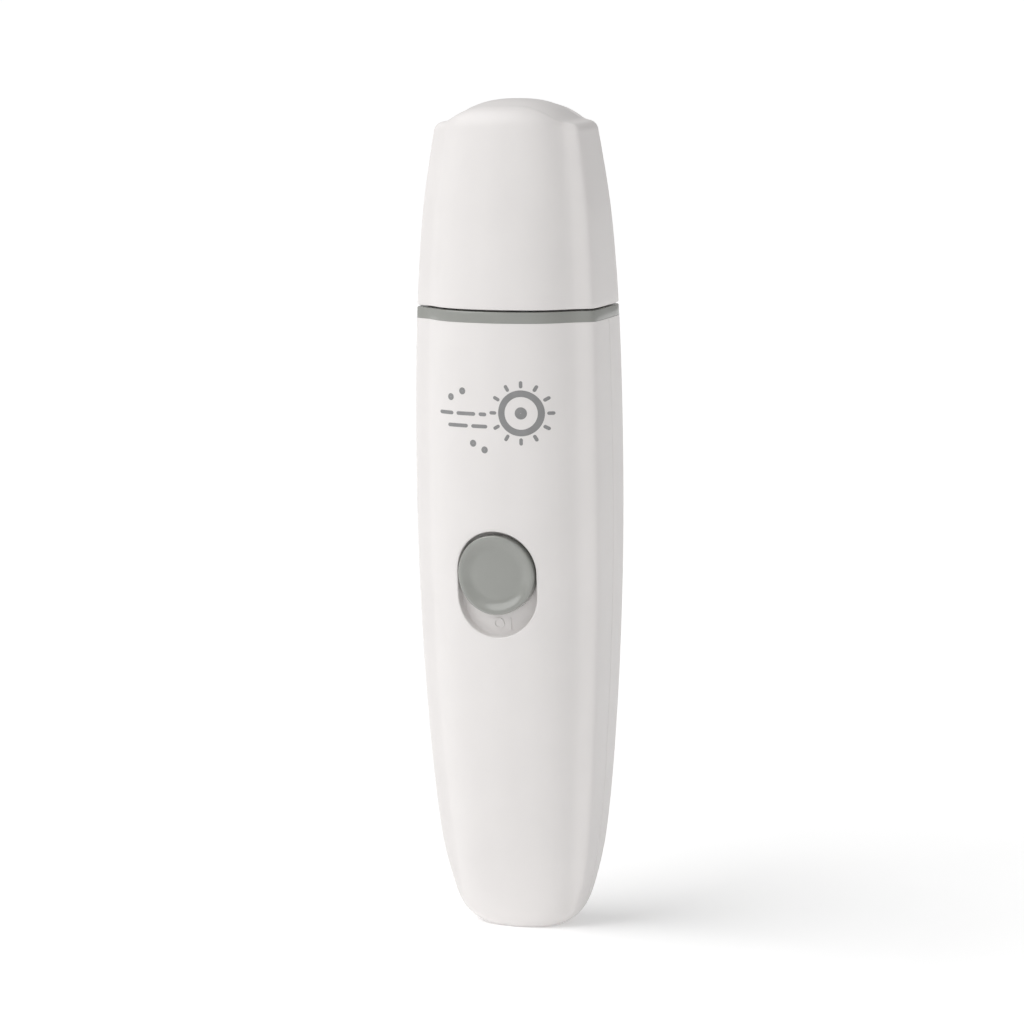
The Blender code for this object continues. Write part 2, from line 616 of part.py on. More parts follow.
# --- grinding drum ----------------------------------------------------------------------
def crown_gear(mat):
    """Face gear: a disc whose teeth point back at the pinion. A gap between teeth faces down."""
    pitch = 2 * pi / CROWN_TEETH
    spread = ((-0.070, 0), (-0.036, 1), (0.036, 1), (0.070, 0))        # angle, and 1 at the tip
    marks = [(pitch * (k + 0.5) + turn, up) for k in range(CROWN_TEETH) for turn, up in spread]

    def ring(radius, x, teeth=False):
        return [(x - TOOTH_HEIGHT * up * teeth, -radius * sin(a), AXLE_Z - radius * cos(a)) for a, up in marks]

    back = CROWN_X + 1.8
    inner, outer = CROWN_R
    rings = [ring(BORE_R, CROWN_X), ring(inner, CROWN_X, True), ring(outer, CROWN_X, True),
             ring(outer, back), ring(BORE_R, back)]
    return chain("crown_gear", rings, mat, closed=True)


def drum_parts(mats):
    centre = (0, 0, AXLE_Z)
    reach = EAR_X[1] + 0.3
    turned("drum_axle", ((0, reach), (0.9, reach), (AXLE_R, reach - 0.3), (AXLE_R, 0.3 - reach), (0.9, -reach),
                         (0, -reach)), centre, "X", mats["steel"], steps=24)
    low, high = DRUM_X
    band, hub = DRUM_R - 0.9, DRUM_R - 0.9 - GAP
    turned("drum_hub", ((BORE_R, high + 0.6), (3.0, high + 0.6), (3.0, high), (hub, high), (hub, low), (3.0, low),
                        (3.0, low - 0.6), (BORE_R, low - 0.6)), centre, "X", mats["inner"], steps=24)
    turned("emery_band", ((band, high), (DRUM_R, high), (DRUM_R, low), (band, low)), centre, "X", mats["emery"],
           steps=36)
    crown_gear(mats["inner"])


# --- head -------------------------------------------------------------------------------
def wheel_carrier(mat):
    """Deck on top of the neck with an ear each side that holds the drum's axle."""
    carrier = form_solid("wheel_carrier", NECK_OUT, *DECK_Z, mat)
    for side in (-1, 1):
        low, high = sorted((side * EAR_X[0], side * EAR_X[1]))
        boolean(carrier, box("ear", (low, -EAR_R, DECK_Z[0] + 0.5), (high, EAR_R, AXLE_Z)), "UNION")
        boolean(carrier, rod("ear_round", EAR_R, (low, 0, AXLE_Z), high - low, "X", sides=24), "UNION")
    boolean(carrier, rod("ear_bores", 2.2 + GAP, (-20, 0, AXLE_Z), 40, "X", sides=24))
    return boolean(carrier, rod("shaft_hole", 1.0 + GAP * 2, (MOTOR_X, 0, 140), 20, "Z", sides=20))


def head_parts(mats):
    wheel_carrier(mats["inner"])
    for side, x in (("left", -EAR_X[1]), ("right", EAR_X[0])):
        length = EAR_X[1] - EAR_X[0]
        turned(f"bushing_{side}", ((BORE_R, length), (2.2, length), (2.2, 0), (BORE_R, 0)), (x, 0, AXLE_Z), "X",
               mats["brass"], steps=24)
    neck = [form_ring(z, FLANGE_OUT) for z in NECK_Z[:2]]
    neck += [form_ring(z, NECK_OUT) for z in NECK_Z[1:]]
    neck += [form_ring(z, NECK_IN) for z in (NECK_Z[2], NECK_Z[0])]
    chain("neck", neck, mats["white"], closed=True)
    sleeve("cap_grip_band", 2.3, NECK_OUT - GAP, (139, 141), mats["rubber"])
    sleeve("trim_ring", 0.0, NECK_OUT - GAP - 0.05, RING_Z, mats["grey"])
    guard = dome_shell("nail_guard", GUARD_OUT, GUARD_IN, DECK_Z[1] + GAP, 3, mats["white"])
    x0, x1, z0, z1 = NAIL_WINDOW
    opening = rounded_rectangle((x1 - x0) / 2, z0, z1, 3.0)
    middle = (x0 + x1) / 2
    boolean(guard, prism("nail_window", [(u + middle, v) for u, v in opening], -30, -3, "Y"))


def cap(mat):
    return dome_shell("cap", 0.0, WALL, CAP_BOTTOM, 6, mat)


# --- wiring -----------------------------------------------------------------------------
def wires(mats):
    """Leads from the pack's top plates and the switch board to the motor's terminals."""
    radius = 0.5
    rear = MOTOR_FLAT + 1.1
    routes = {
        "wire_switch_to_motor": ((4.0, -8.4, 88.4), (7.5, -9.6, 98), (9.0, -10.0, 110),
                                 (MOTOR_X + 2.0, -rear, 121.2)),
        "wire_pack_to_motor": ((-7, 5.9, 121.3), (-3.5, rear, 122.0), (MOTOR_X - 2.0, rear, 123.2)),
        "wire_pack_to_switch": ((7, 5.9, 121.3), (12.9, 8.2, 114), (16.4, 4, 106), (16.8, -4.6, 100),
                                (13.2, -8.9, 94), (7.8, -8.4, 86)),
    }
    for name, points in routes.items():
        mat = mats["black"] if name == "wire_pack_to_motor" else mats["red"]
        wire(name, smooth_path(points), radius, mat)


def build():
    for obj in list(bpy.data.objects):
        bpy.data.objects.remove(obj)
    bpy.context.scene.collection.children.link(BODY)
    bpy.context.scene.collection.children.link(TOOLS)
    mats = make_materials()
    front_shell(mats["white"])
    rear_shell(mats["white"])
    battery_door(mats["white"])
    casing_screws(mats["steel"])
    switch_button(mats["grey"])
    switch_parts(mats)
    power_parts(mats)
    motor_parts(mats)
    rotor(mats)
    drum_parts(mats)
    head_parts(mats)
    cap(mats["white"])
    wires(mats)


build()
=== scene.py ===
"""Looks of the battery nail grinder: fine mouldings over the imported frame, materials, light, camera.

Sizes are in millimetres until a mesh is made. +Z runs up the handle, the button faces -Y.
"""
from math import cos, pi, radians, sin

import bmesh
import bpy
import numpy as np
from mathutils import Matrix, Vector


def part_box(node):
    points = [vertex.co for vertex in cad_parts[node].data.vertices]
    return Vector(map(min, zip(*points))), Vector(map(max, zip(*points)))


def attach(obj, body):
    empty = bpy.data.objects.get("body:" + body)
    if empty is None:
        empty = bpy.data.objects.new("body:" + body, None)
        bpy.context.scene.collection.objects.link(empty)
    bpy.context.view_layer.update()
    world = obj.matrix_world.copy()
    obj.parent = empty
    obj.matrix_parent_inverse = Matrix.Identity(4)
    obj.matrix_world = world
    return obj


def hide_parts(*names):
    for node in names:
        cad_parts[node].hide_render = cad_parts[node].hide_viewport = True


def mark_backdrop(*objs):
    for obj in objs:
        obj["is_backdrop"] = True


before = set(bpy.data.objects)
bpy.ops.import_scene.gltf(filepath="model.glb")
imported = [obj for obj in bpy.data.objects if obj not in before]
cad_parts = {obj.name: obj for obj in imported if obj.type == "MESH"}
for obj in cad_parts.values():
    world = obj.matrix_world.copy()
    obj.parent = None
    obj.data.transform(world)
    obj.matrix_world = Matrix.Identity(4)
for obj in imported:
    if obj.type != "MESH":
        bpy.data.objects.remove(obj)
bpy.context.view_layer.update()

MM = 0.001


# --- the outer form, with the same sizes as the CAD's ------------------------------------------
# height, half width, half depth of the body's cross-section
STATIONS = np.array(((0, 11.6, 7.7), (8, 14.93, 8.52), (20, 17.48, 11.3), (45, 19.63, 14.2),
                     (75, 20.96, 16.0), (103, 21.22, 16.8), (133, 20.66, 16.45), (155, 19.35, 14.9),
                     (170, 17.37, 13.0), (180, 15.6, 11.65)), float)
TONGUE = (0.91, 2.5)            # centre tongue: its half width over the form's, and its superellipse power
TONGUE_FADE = (0.18, 20.99)     # how much wider the tongue gets at the base, and from what height down
SIDE = (1.0, 3.9)               # rails: their depth over the form's half depth, and their power
STRIP = (0.511, 0.940)          # x and y of the flat strip's line, over the half width and half depth
EDGE_SHARPNESS = 50.0           # power that joins tongue, strip and rails; higher is sharper
BASE_ROUND = 5.37               # height of the rounding into the flat base
BASE_INSET = (4.9, 1.7)         # how far the base's flat lies inside the form, in X and Y
WALL = 2.0
LENGTH = 180.0
CAP_EDGE = (2.3, 5.4)           # radius between the cap's sides and top, at rails (CAD: 1.4) and tongue
CAP_EDGE_SPAN = (0.50, 0.85)    # sines of the section's angle between which that radius grows
DOME = (12.6, 4.0, 12.0, 3.4)   # half width and fall in X, half depth and fall in Y
DOME_POWER = 2.6
DOME_BLEND = 0.25
SHOULDER = (12.8, 4.3, 0.25)    # half width, depth below the apex and slope of the shoulders

# how far inside the form the inner mouldings' faces lie
NECK_OUT, NECK_IN, FLANGE_OUT = 3.2, 4.4, 2.35
GUARD_OUT, GUARD_IN = 3.0, 4.2
FLANGE_TOP = 133.2
NAIL_WINDOW = (-8.6, 1.2, 156.5, 169.0)      # low and high X, low and high Z

RECESS_HALF = (8.95, 11.5)      # half width and half height of the stadium
RECESS_DEPTH = 2.6
RECESS_FLOOR = 1.2
BUTTON_R = 8.6
BUTTON_RISE = 0.6
BUTTON_TRAVEL = 4.7
BUTTON_GAP = 0.8                # between the button and the recess's upper end
STEM = 1.8                      # half the side of the button's square stem
STEM_PLAY = (0.5, 0.4)          # between the stem and its slit, in X and Z

DOOR_CORNER = 4.0
DOOR_LOW = 18.0
DOOR_GAP = 0.35
DOOR_CHAMFER = 0.3
GROOVE_COUNT = 5
GROOVE_STEP = 2.6

SCREW_PLACES = ((17.35, 118.0), (-17.35, 118.0), (6.0, 8.6), (-6.0, 8.6))
SCREW_SEAT = 4.6
FRONT_BOSS_R, REAR_BOSS_R = 2.3, 2.75
CELL_R = 7.0
STRIPE_FROM = 30.0              # height above a cell's flat end at which its sleeve's stripe starts


# places read from the frame, in millimetres
def low_of(node):
    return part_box(node)[0] / MM


def high_of(node):
    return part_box(node)[1] / MM


def middle_of(node):
    return (low_of(node) + high_of(node)) / 2


SHELL_TOP = high_of("front_shell").z
RING_Z = (low_of("trim_ring").z, high_of("trim_ring").z)
CAP_BOTTOM = low_of("cap").z
BUTTON_Z = middle_of("switch_button").z
RECESS_Z = BUTTON_Z - (RECESS_HALF[1] - BUTTON_GAP - BUTTON_R)
AXLE_Z = middle_of("drum_axle").z

# angles of a section's points, close together over the valleys and creases
QUADRANT = np.radians(np.concatenate((np.linspace(0, 15, 9), np.linspace(16, 33, 35),
                                      np.linspace(35, 88, 24))))
FULL_TURN = np.concatenate((QUADRANT, [pi / 2], pi - QUADRANT[:0:-1]))
FULL_TURN = np.concatenate((FULL_TURN, FULL_TURN + pi))
ROW_STEP = 1.6                  # height between two rows of a moulding's skin


def station(z, column):
    """Smooth curve through the stations' widths (column 1) or depths (column 2)."""
    heights, values = STATIONS[:, 0], STATIONS[:, column]
    z = np.clip(z, heights[0], heights[-1])
    i = np.clip(np.searchsorted(heights[1:], z), 0, len(heights) - 2)
    slopes = np.empty_like(values)
    slopes[1:-1] = (values[2:] - values[:-2]) / (heights[2:] - heights[:-2])
    slopes[0], slopes[-1] = slopes[1], slopes[-2]
    step = heights[i + 1] - heights[i]
    t = (z - heights[i]) / step
    return ((2 * t ** 3 - 3 * t ** 2 + 1) * values[i] + (t ** 3 - 2 * t ** 2 + t) * step * slopes[i]
            + (3 * t ** 2 - 2 * t ** 3) * values[i + 1] + (t ** 3 - t ** 2) * step * slopes[i + 1])


def form_radius(angle, z, inset=0.0):
    """Distance from the axis to the form, a given distance inside it."""
    angle, z, inset = np.broadcast_arrays(*(np.asarray(v, float) for v in (angle, z, inset)))
    short = np.clip(1 - np.maximum(z - inset, 0.0) / (BASE_ROUND - inset), 0.0, 1.0)
    shrink = np.where(z < BASE_ROUND, 1 - np.sqrt(1 - short ** 2), 0.0)
    half_width = station(z, 1) - inset - BASE_INSET[0] * shrink
    half_depth = station(z, 2) - inset - BASE_INSET[1] * shrink
    c, s = np.abs(np.cos(angle)), np.abs(np.sin(angle))
    spread = TONGUE[0] + TONGUE_FADE[0] * np.maximum(0.0, 1 - z / TONGUE_FADE[1]) ** 2
    tongue = ((c / (spread * half_width)) ** TONGUE[1] + (s / half_depth) ** TONGUE[1]) ** (-1 / TONGUE[1])
    strip = 1 / (STRIP[0] * c / half_width + STRIP[1] * s / half_depth)
    side = ((c / half_width) ** SIDE[1] + (s / (SIDE[0] * half_depth)) ** SIDE[1]) ** (-1 / SIDE[1])
    k = EDGE_SHARPNESS
    rail = (strip ** -k + side ** -k) ** (-1 / k)
    return tongue * (1 + (rail / tongue) ** k) ** (1 / k)


def surface_y(x, z, inset=0.0, side=-1):
    """Y of the form at points of the XZ plane, on the front (side -1) or the back."""
    outside, halvings = 30.0, 36
    x, z, inset = np.broadcast_arrays(*(np.asarray(v, float) for v in (x, z, inset)))
    low, high = np.zeros(x.shape), np.full(x.shape, outside)
    for _ in range(halvings):
        middle = (low + high) / 2
        inside = np.hypot(x, middle) < form_radius(np.arctan2(middle, x), z, inset)
        low, high = np.where(inside, middle, low), np.where(inside, high, middle)
    return side * low


def form_ring(z, inset=0.0):
    """A whole section's points at one height."""
    radius = form_radius(FULL_TURN, z, inset)
    return np.stack((radius * np.cos(FULL_TURN), radius * np.sin(FULL_TURN), np.full(len(FULL_TURN), z)), 1)


def on_form(x, z, inset=0.0, side=-1):
    """Points of the form over points of the XZ plane."""
    x, z, y = np.broadcast_arrays(x, z, surface_y(x, z, inset, side))
    return np.stack((x, y, z), 1)


# --- meshes -------------------------------------------------------------------------------
class Surface:
    """Points and faces of one piece, gathered ring by ring."""

    def __init__(self):
        self.points = []
        self.faces = []

    def ring(self, points):
        start = len(self.points)
        self.points.extend(tuple(float(v) for v in p) for p in points)
        return list(range(start, len(self.points)))

    def rings(self, many):
        return [self.ring(points) for points in many]

    def band(self, low, high, closed=True):
        count = len(low)
        for i in range(count if closed else count - 1):
            j = (i + 1) % count
            self.faces.append((low[i], low[j], high[j], high[i]))

    def bands(self, rings, closed=True):
        for low, high in zip(rings, rings[1:]):
            self.band(low, high, closed)

    def lid(self, ring):
        self.faces.append(tuple(ring))

    def mesh(self, name, sharp=35):
        mesh = bpy.data.meshes.new(name)
        mesh.from_pydata([tuple(v * MM for v in p) for p in self.points], [], self.faces)
        return tidy(mesh, sharp)


def tidy(mesh, sharp=35):
    """Weld, point the faces outwards and shade smooth, with sharp edges past an angle in degrees."""
    bm = bmesh.new()
    bm.from_mesh(mesh)
    bmesh.ops.remove_doubles(bm, verts=bm.verts, dist=1e-7)
    bmesh.ops.recalc_face_normals(bm, faces=bm.faces)
    bm.to_mesh(mesh)
    bm.free()
    mesh.shade_smooth()
    mesh.set_sharp_from_angle(angle=radians(sharp))
    return mesh


def add(name, data, *materials):
    """Object in the scene from a mesh, curve, lamp or camera."""
    obj = bpy.data.objects.new(name, data)
    bpy.context.scene.collection.objects.link(obj)
    for mat in materials:
        data.materials.append(mat)
    return obj


def loft(name, rings, closed=False):
    """Mesh through rings; closed joins the last to the first, else both ends get a lid."""
    surface = Surface()
    loops = surface.rings(rings)
    surface.bands(loops)
    if closed:
        surface.band(loops[-1], loops[0])
    else:
        surface.lid(loops[0])
        surface.lid(loops[-1])
    return surface.mesh(name)


def turned(name, profile, centre, axis, steps=96):
    """Solid of revolution about Y or Z from (radius, distance along the axis) points. A profile that
    ends where it starts makes a hollow ring; any other gets a flat lid at each end."""
    angles = np.linspace(0, 2 * pi, steps, endpoint=False)
    hollow = profile[0] == profile[-1]
    points = profile[:-1] if hollow else profile
    turns = {"Y": Matrix.Rotation(-pi / 2, 3, "X"), "Z": Matrix.Identity(3)}
    turn = np.array(turns[axis])
    rings = []
    for r, z in points:
        flat = np.stack((r * np.cos(angles), r * np.sin(angles), np.full(steps, z)), 1)
        rings.append(flat @ turn.T + np.array(centre))
    return loft(name, rings, hollow)


def block(name, low, high):
    """Box between two corners."""
    x0, y0, z0 = low
    x1, y1, z1 = high
    return loft(name, [[(x0, y0, z), (x1, y0, z), (x1, y1, z), (x0, y1, z)] for z in (z0, z1)])


def join(name, meshes):
    """One mesh out of several that stay apart."""
    bm = bmesh.new()
    for mesh in meshes:
        bm.from_mesh(mesh)
    joined = bpy.data.meshes.new(name)
    bm.to_mesh(joined)
    bm.free()
    return joined


def cut(target, other, operation="DIFFERENCE"):
    """Apply a boolean to an object and remove the cutter."""
    tool = add("cutter", other)
    modifier = target.modifiers.new("cut", "BOOLEAN")
    modifier.operation = operation
    modifier.object = tool
    modifier.solver = "EXACT"
    bpy.context.view_layer.update()
    result = bpy.data.meshes.new_from_object(target.evaluated_get(bpy.context.evaluated_depsgraph_get()))
    target.modifiers.clear()
    target.data = result
    bpy.data.objects.remove(tool)
    tidy(result)
    return target


def place(piece, body, slot, *nodes):
    """Ride a piece on a body in the place of CAD nodes; slot is not used."""
    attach(piece, body)
    if nodes:
        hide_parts(*nodes)
    return piece


# --- materials ----------------------------------------------------------------------------
class Recipe:
    """A Principled material whose colour, roughness and relief vary over the surface."""

    def __init__(self, name, metallic=0.0, ior=1.5, coat=0.0, coat_roughness=0.1):
        self.mat = bpy.data.materials.new(name)
        self.mat.use_nodes = True
        self.tree = self.mat.node_tree
        self.shader = self.tree.nodes["Principled BSDF"]
        for socket, value in (("Metallic", metallic), ("IOR", ior), ("Coat Weight", coat),
                              ("Coat Roughness", coat_roughness)):
            self.shader.inputs[socket].default_value = value
        self.where = self.tree.nodes.new("ShaderNodeTexCoord").outputs["Object"]

    def node(self, kind, **values):
        """New node, with values for its sockets or its settings."""
        node = self.tree.nodes.new(kind)
        for key, value in values.items():
            if key in node.inputs:
                node.inputs[key].default_value = value
            else:
                setattr(node, key, value)
        return node

    def link(self, output, socket):
        self.tree.links.new(output, socket)

    def stretched(self, stretch):
        mapping = self.node("ShaderNodeMapping")
        mapping.inputs["Scale"].default_value = stretch
        self.link(self.where, mapping.inputs["Vector"])
        return mapping.outputs["Vector"]

    def noise(self, size, detail=2.0, stretch=None):
        """Noise whose features are about size millimetres across."""
        node = self.node("ShaderNodeTexNoise", Scale=1 / (size * MM), Detail=detail)
        self.link(self.stretched(stretch) if stretch else self.where, node.inputs["Vector"])
        return node.outputs["Fac"]

    def grains(self, size):
        node = self.node("ShaderNodeTexVoronoi", Scale=1 / (size * MM))
        self.link(self.where, node.inputs["Vector"])
        return node.outputs["Distance"]

    def colour(self, fac, *tones, low=0.3, high=0.7):
        """Base colour that runs through the tones as fac goes from low to high."""
        ramp = self.node("ShaderNodeValToRGB")
        stops = ramp.color_ramp.elements
        while len(stops) < len(tones):
            stops.new(0.5)
        for k, tone in enumerate(tones):
            stops[k].position = low + (high - low) * k / (len(tones) - 1)
            stops[k].color = (*tone, 1.0)
        self.link(fac, ramp.inputs["Fac"])
        self.link(ramp.outputs["Color"], self.shader.inputs["Base Color"])
        return self

    def roughness(self, fac, low, high):
        span = self.node("ShaderNodeMapRange", **{"From Min": 0.3, "From Max": 0.7, "To Min": low,
                                                  "To Max": high})
        self.link(fac, span.inputs["Value"])
        self.link(span.outputs["Result"], self.shader.inputs["Roughness"])
        return self

    def relief(self, fac, height, strength=1.0):
        """Bump of about height millimetres."""
        bump = self.node("ShaderNodeBump", Strength=strength, Distance=height * MM)
        self.link(fac, bump.inputs["Height"])
        self.link(bump.outputs["Normal"], self.shader.inputs["Normal"])
        return self


def satin_white(name, tone, dark=0.975):
    """Warm white moulding with a fine spark-eroded texture and faint flow marks."""
    made = Recipe(name, ior=1.46)
    soft = tuple(v * dark for v in tone)
    made.colour(made.noise(14, 3.0), soft, tone)
    made.roughness(made.noise(0.5, 2.0), 0.36, 0.44)
    return made.relief(made.noise(0.22, 2.0), 0.004, 0.5).mat


def gloss_grey(name, tone):
    """Glossy painted plastic with a faint orange peel."""
    made = Recipe(name, ior=1.5, coat=0.3, coat_roughness=0.08)
    made.colour(made.noise(6, 3.0), tuple(v * 0.97 for v in tone), tuple(v * 1.02 for v in tone))
    made.roughness(made.noise(1.2, 2.0), 0.16, 0.24)
    return made.relief(made.noise(0.9, 1.0), 0.003, 0.4).mat


def brushed_metal(name, tone, stretch, rough=(0.22, 0.38)):
    """Metal with fine streaks; stretch is how many times narrower they are along each axis."""
    made = Recipe(name, metallic=1.0)
    streaks = made.noise(0.3, 3.0, stretch)
    made.colour(streaks, tuple(v * 0.86 for v in tone), tone)
    made.roughness(streaks, *rough)
    return made.relief(streaks, 0.003, 0.5).mat


def grit(name, dark, light, size, height, rough=(0.75, 0.95)):
    """Closely set abrasive grains in their binder."""
    made = Recipe(name)
    cells = made.grains(size)
    made.colour(made.noise(size * 1.6, 3.0), dark, light, low=0.38, high=0.66)
    made.roughness(made.noise(size, 1.0), *rough)
    return made.relief(cells, height, 1.0).mat


def matte(name, dark, light, size, height, rough):
    """Dull surface with mottled colour and a relief of features about size millimetres across."""
    made = Recipe(name)
    made.colour(made.noise(size * 6, 3.0), dark, light)
    made.roughness(made.noise(size * 3, 2.0), *rough)
    return made.relief(made.noise(size, 2.0), height, 0.6).mat


def windings(name):
    """Enamelled wire wound in slots: fine ridges across the armature, their colour darkened by painted shade
    in the grooves between them.
    """
    made = Recipe(name, metallic=1.0, coat=0.5)
    node = made.node("ShaderNodeTexWave", Scale=1 / (2.2 * MM), Distortion=0.6)
    node.bands_direction = "Z"
    made.link(made.where, node.inputs["Vector"])
    ridges_and_shade = node.outputs["Fac"]
    # the colour follows the ridges: painted shade darkens the grooves between the turns
    made.colour(ridges_and_shade, (0.28, 0.08, 0.03), (0.72, 0.30, 0.14), low=0.2, high=0.9)
    made.roughness(made.noise(0.6), 0.25, 0.40)
    return made.relief(ridges_and_shade, 0.12).mat


def make_finishes():
    """One material for each slot of the record."""
    return {
        "white_plastic": satin_white("satin_white_plastic", (0.775, 0.750, 0.738)),
        "guard_plastic": satin_white("guard_plastic", (0.75, 0.73, 0.715)),
        "grey_green_plastic": gloss_grey("grey_green_plastic", (0.30, 0.305, 0.285)),
        "natural_plastic": matte("natural_plastic", (0.62, 0.60, 0.54), (0.70, 0.68, 0.62), 0.3, 0.01,
                                 (0.42, 0.55)),
        "black_plastic": matte("black_plastic", (0.020, 0.020, 0.021), (0.032, 0.032, 0.033), 0.25, 0.01,
                               (0.38, 0.52)),
        "board": matte("board", (0.16, 0.085, 0.03), (0.24, 0.13, 0.05), 0.4, 0.01, (0.5, 0.65)),
        "steel": brushed_metal("brushed_steel", (0.62, 0.61, 0.60), (1, 1, 14)),
        "brass": brushed_metal("brass", (0.78, 0.58, 0.27), (1, 1, 10)),
        "copper_windings": windings("copper_windings"),
        "ferrite": matte("ferrite", (0.045, 0.045, 0.048), (0.08, 0.08, 0.085), 0.2, 0.02, (0.5, 0.7)),
        "cell_jacket": matte("cell_jacket", (0.030, 0.050, 0.058), (0.038, 0.060, 0.070), 2.0, 0.004,
                             (0.20, 0.28)),
        "emery_cloth": grit("emery_cloth", (0.055, 0.030, 0.020), (0.26, 0.16, 0.11), 0.16, 0.10),
        "rubber": matte("rubber", (0.030, 0.030, 0.030), (0.050, 0.050, 0.050), 0.3, 0.02, (0.65, 0.85)),
        "red_wire": matte("red_wire", (0.38, 0.02, 0.015), (0.50, 0.03, 0.02), 0.4, 0.01, (0.35, 0.5)),
    }


# --- handle shells --------------------------------------------------------------------------
SEAM = 0.10                     # gap between the two shells
SEAM_ROUND = 0.18
FIRST_COLUMN = radians(2.6)
HALF_COLUMNS = np.concatenate(([FIRST_COLUMN], QUADRANT[2:], [pi / 2], pi - QUADRANT[:1:-1],
                               [pi - FIRST_COLUMN]))


def half_row(z, inset, side):
    """Points over one half of a section, from +X to -X, rounded where they meet the parting plane."""
    turns = np.linspace(pi / 2, 0, 4)
    edge_y = SEAM / 2 + SEAM_ROUND * (1 - np.sin(turns))
    pull = SEAM_ROUND * (1 - np.cos(turns)) if inset == 0 else 0.0
    angle = np.zeros(len(turns))
    for _ in range(4):                      # the radius depends on the angle, and the angle on the radius
        radius = form_radius(angle, z, inset)
        angle = np.arcsin(edge_y / radius)
    edge_x = np.sqrt(radius ** 2 - edge_y ** 2) - pull
    radius = form_radius(HALF_COLUMNS, z, inset)
    x = np.concatenate((edge_x, radius * np.cos(HALF_COLUMNS), -edge_x[::-1]))
    y = np.concatenate((edge_y, radius * np.sin(HALF_COLUMNS), edge_y[::-1]))
    return np.stack((x, side * y, np.full(len(x), z)), 1)


def handle_heights():
    """Heights of the skin's rows: closer over the base's rounding, then even."""
    turns = np.linspace(0, pi / 2, 9)
    base = BASE_ROUND * (1 - np.cos(turns))
    rows = int((SHELL_TOP - BASE_ROUND) / ROW_STEP)
    return np.concatenate((base, np.linspace(BASE_ROUND, SHELL_TOP, rows)[1:]))


def half_shell(side, opening=None):
    """Skin of half the handle. opening is (half width, low, high) of a patch that is left out of both
    faces of the skin; its edge loops are returned with the surface."""
    surface = Surface()
    heights = handle_heights()
    inner_heights = WALL + heights * (SHELL_TOP - WALL) / SHELL_TOP
    outer = surface.rings(half_row(z, 0.0, side) for z in heights)
    inner = surface.rings(half_row(z, WALL, side) for z in inner_heights)
    rows, columns = range(0, 0), range(0, 0)
    if opening:
        half_width, low, high = opening
        rows = range(int(np.searchsorted(heights, low)) - 1, int(np.searchsorted(heights, high)))
        across = np.abs([surface.points[i][0] for i in outer[rows.start]])
        wide = np.flatnonzero(across < half_width)
        columns = range(int(wide[0]) - 1, int(wide[-1]) + 1)
    count = len(outer[0])
    for skin in (outer, inner):
        for k in range(len(skin) - 1):
            for j in range(count - 1):
                if k not in rows or j not in columns:
                    surface.faces.append((skin[k][j], skin[k][j + 1], skin[k + 1][j + 1], skin[k + 1][j]))
    for k in range(len(outer) - 1):
        for end in (0, -1):
            surface.faces.append((outer[k][end], outer[k + 1][end], inner[k + 1][end], inner[k][end]))
    surface.band(outer[-1], inner[-1], closed=False)
    surface.lid(outer[0])
    surface.lid(inner[0])
    surface.faces.append((outer[0][0], outer[0][-1], inner[0][-1], inner[0][0]))
    if not opening:
        return surface, None
    return surface, [edge_loop(skin, rows, columns) for skin in (outer, inner)]


def edge_loop(skin, rows, columns):
    """Points around a patch of a grid, in order."""
    low, high, first, last = rows.start, rows.stop, columns.start, columns.stop
    loop = [skin[low][j] for j in range(first, last)]
    loop += [skin[k][last] for k in range(low, high)]
    loop += [skin[high][j] for j in range(last, first, -1)]
    return loop + [skin[k][first] for k in range(high, low, -1)]


def stadium_reach(angle, grow):
    """Distance from the recess's centre to its outline."""
    radius = RECESS_HALF[0] + grow
    straight = RECESS_HALF[1] - RECESS_HALF[0]
    c, s = np.abs(np.cos(angle)), np.abs(np.sin(angle))
    to_side = radius / np.maximum(c, 1e-6)
    to_end = straight * s + np.sqrt(radius ** 2 - (straight * c) ** 2)
    return np.where(to_side * s < straight, to_side, to_end)


def recess_rings(angle, reach_out):
    """Rings from an outer edge, at its angles and reaches from the recess's centre, over a rounded lip,
    down a dished well, through the slit for the button's stem and out under the pan behind it."""

    def ring(reach, inset):
        return on_form(reach * np.cos(angle), RECESS_Z + reach * np.sin(angle), inset)

    lip, foot = 0.32, 0.6
    edge = stadium_reach(angle, lip)
    rings = [ring(reach_out + (edge - reach_out) * t, 0.0) for t in (0.3, 0.6, 0.85, 1.0)]
    for turn in np.linspace(0, pi / 2, 6)[1:]:
        rings.append(ring(stadium_reach(angle, lip * (1 - sin(turn))), lip * (1 - cos(turn))))
    rings.append(ring(stadium_reach(angle, 0.0), (lip + RECESS_DEPTH - foot) / 2))
    for turn in np.linspace(0, pi / 2, 6):
        rings.append(ring(stadium_reach(angle, -foot * (1 - cos(turn))),
                          RECESS_DEPTH - foot * (1 - sin(turn))))
    side = STEM + STEM_PLAY[0]
    up = BUTTON_Z + STEM + STEM_PLAY[1] - RECESS_Z
    down = RECESS_Z - (BUTTON_Z - BUTTON_TRAVEL - STEM - STEM_PLAY[1])
    c, s = np.abs(np.cos(angle)), np.sin(angle)
    slit = np.minimum(side / np.maximum(c, 1e-6), np.where(s > 0, up, down) / np.maximum(np.abs(s), 1e-6))
    well = stadium_reach(angle, -foot)
    for t in (0.25, 0.5, 0.75, 1.0):
        rings.append(ring(well + (slit - well) * t, RECESS_DEPTH))
    pan = stadium_reach(angle, 1.5)
    for t in (0.0, 0.33, 0.66, 1.0):
        rings.append(ring(slit + (pan - slit) * t, RECESS_DEPTH + RECESS_FLOOR))
    rings.append(ring(pan, WALL))
    return rings


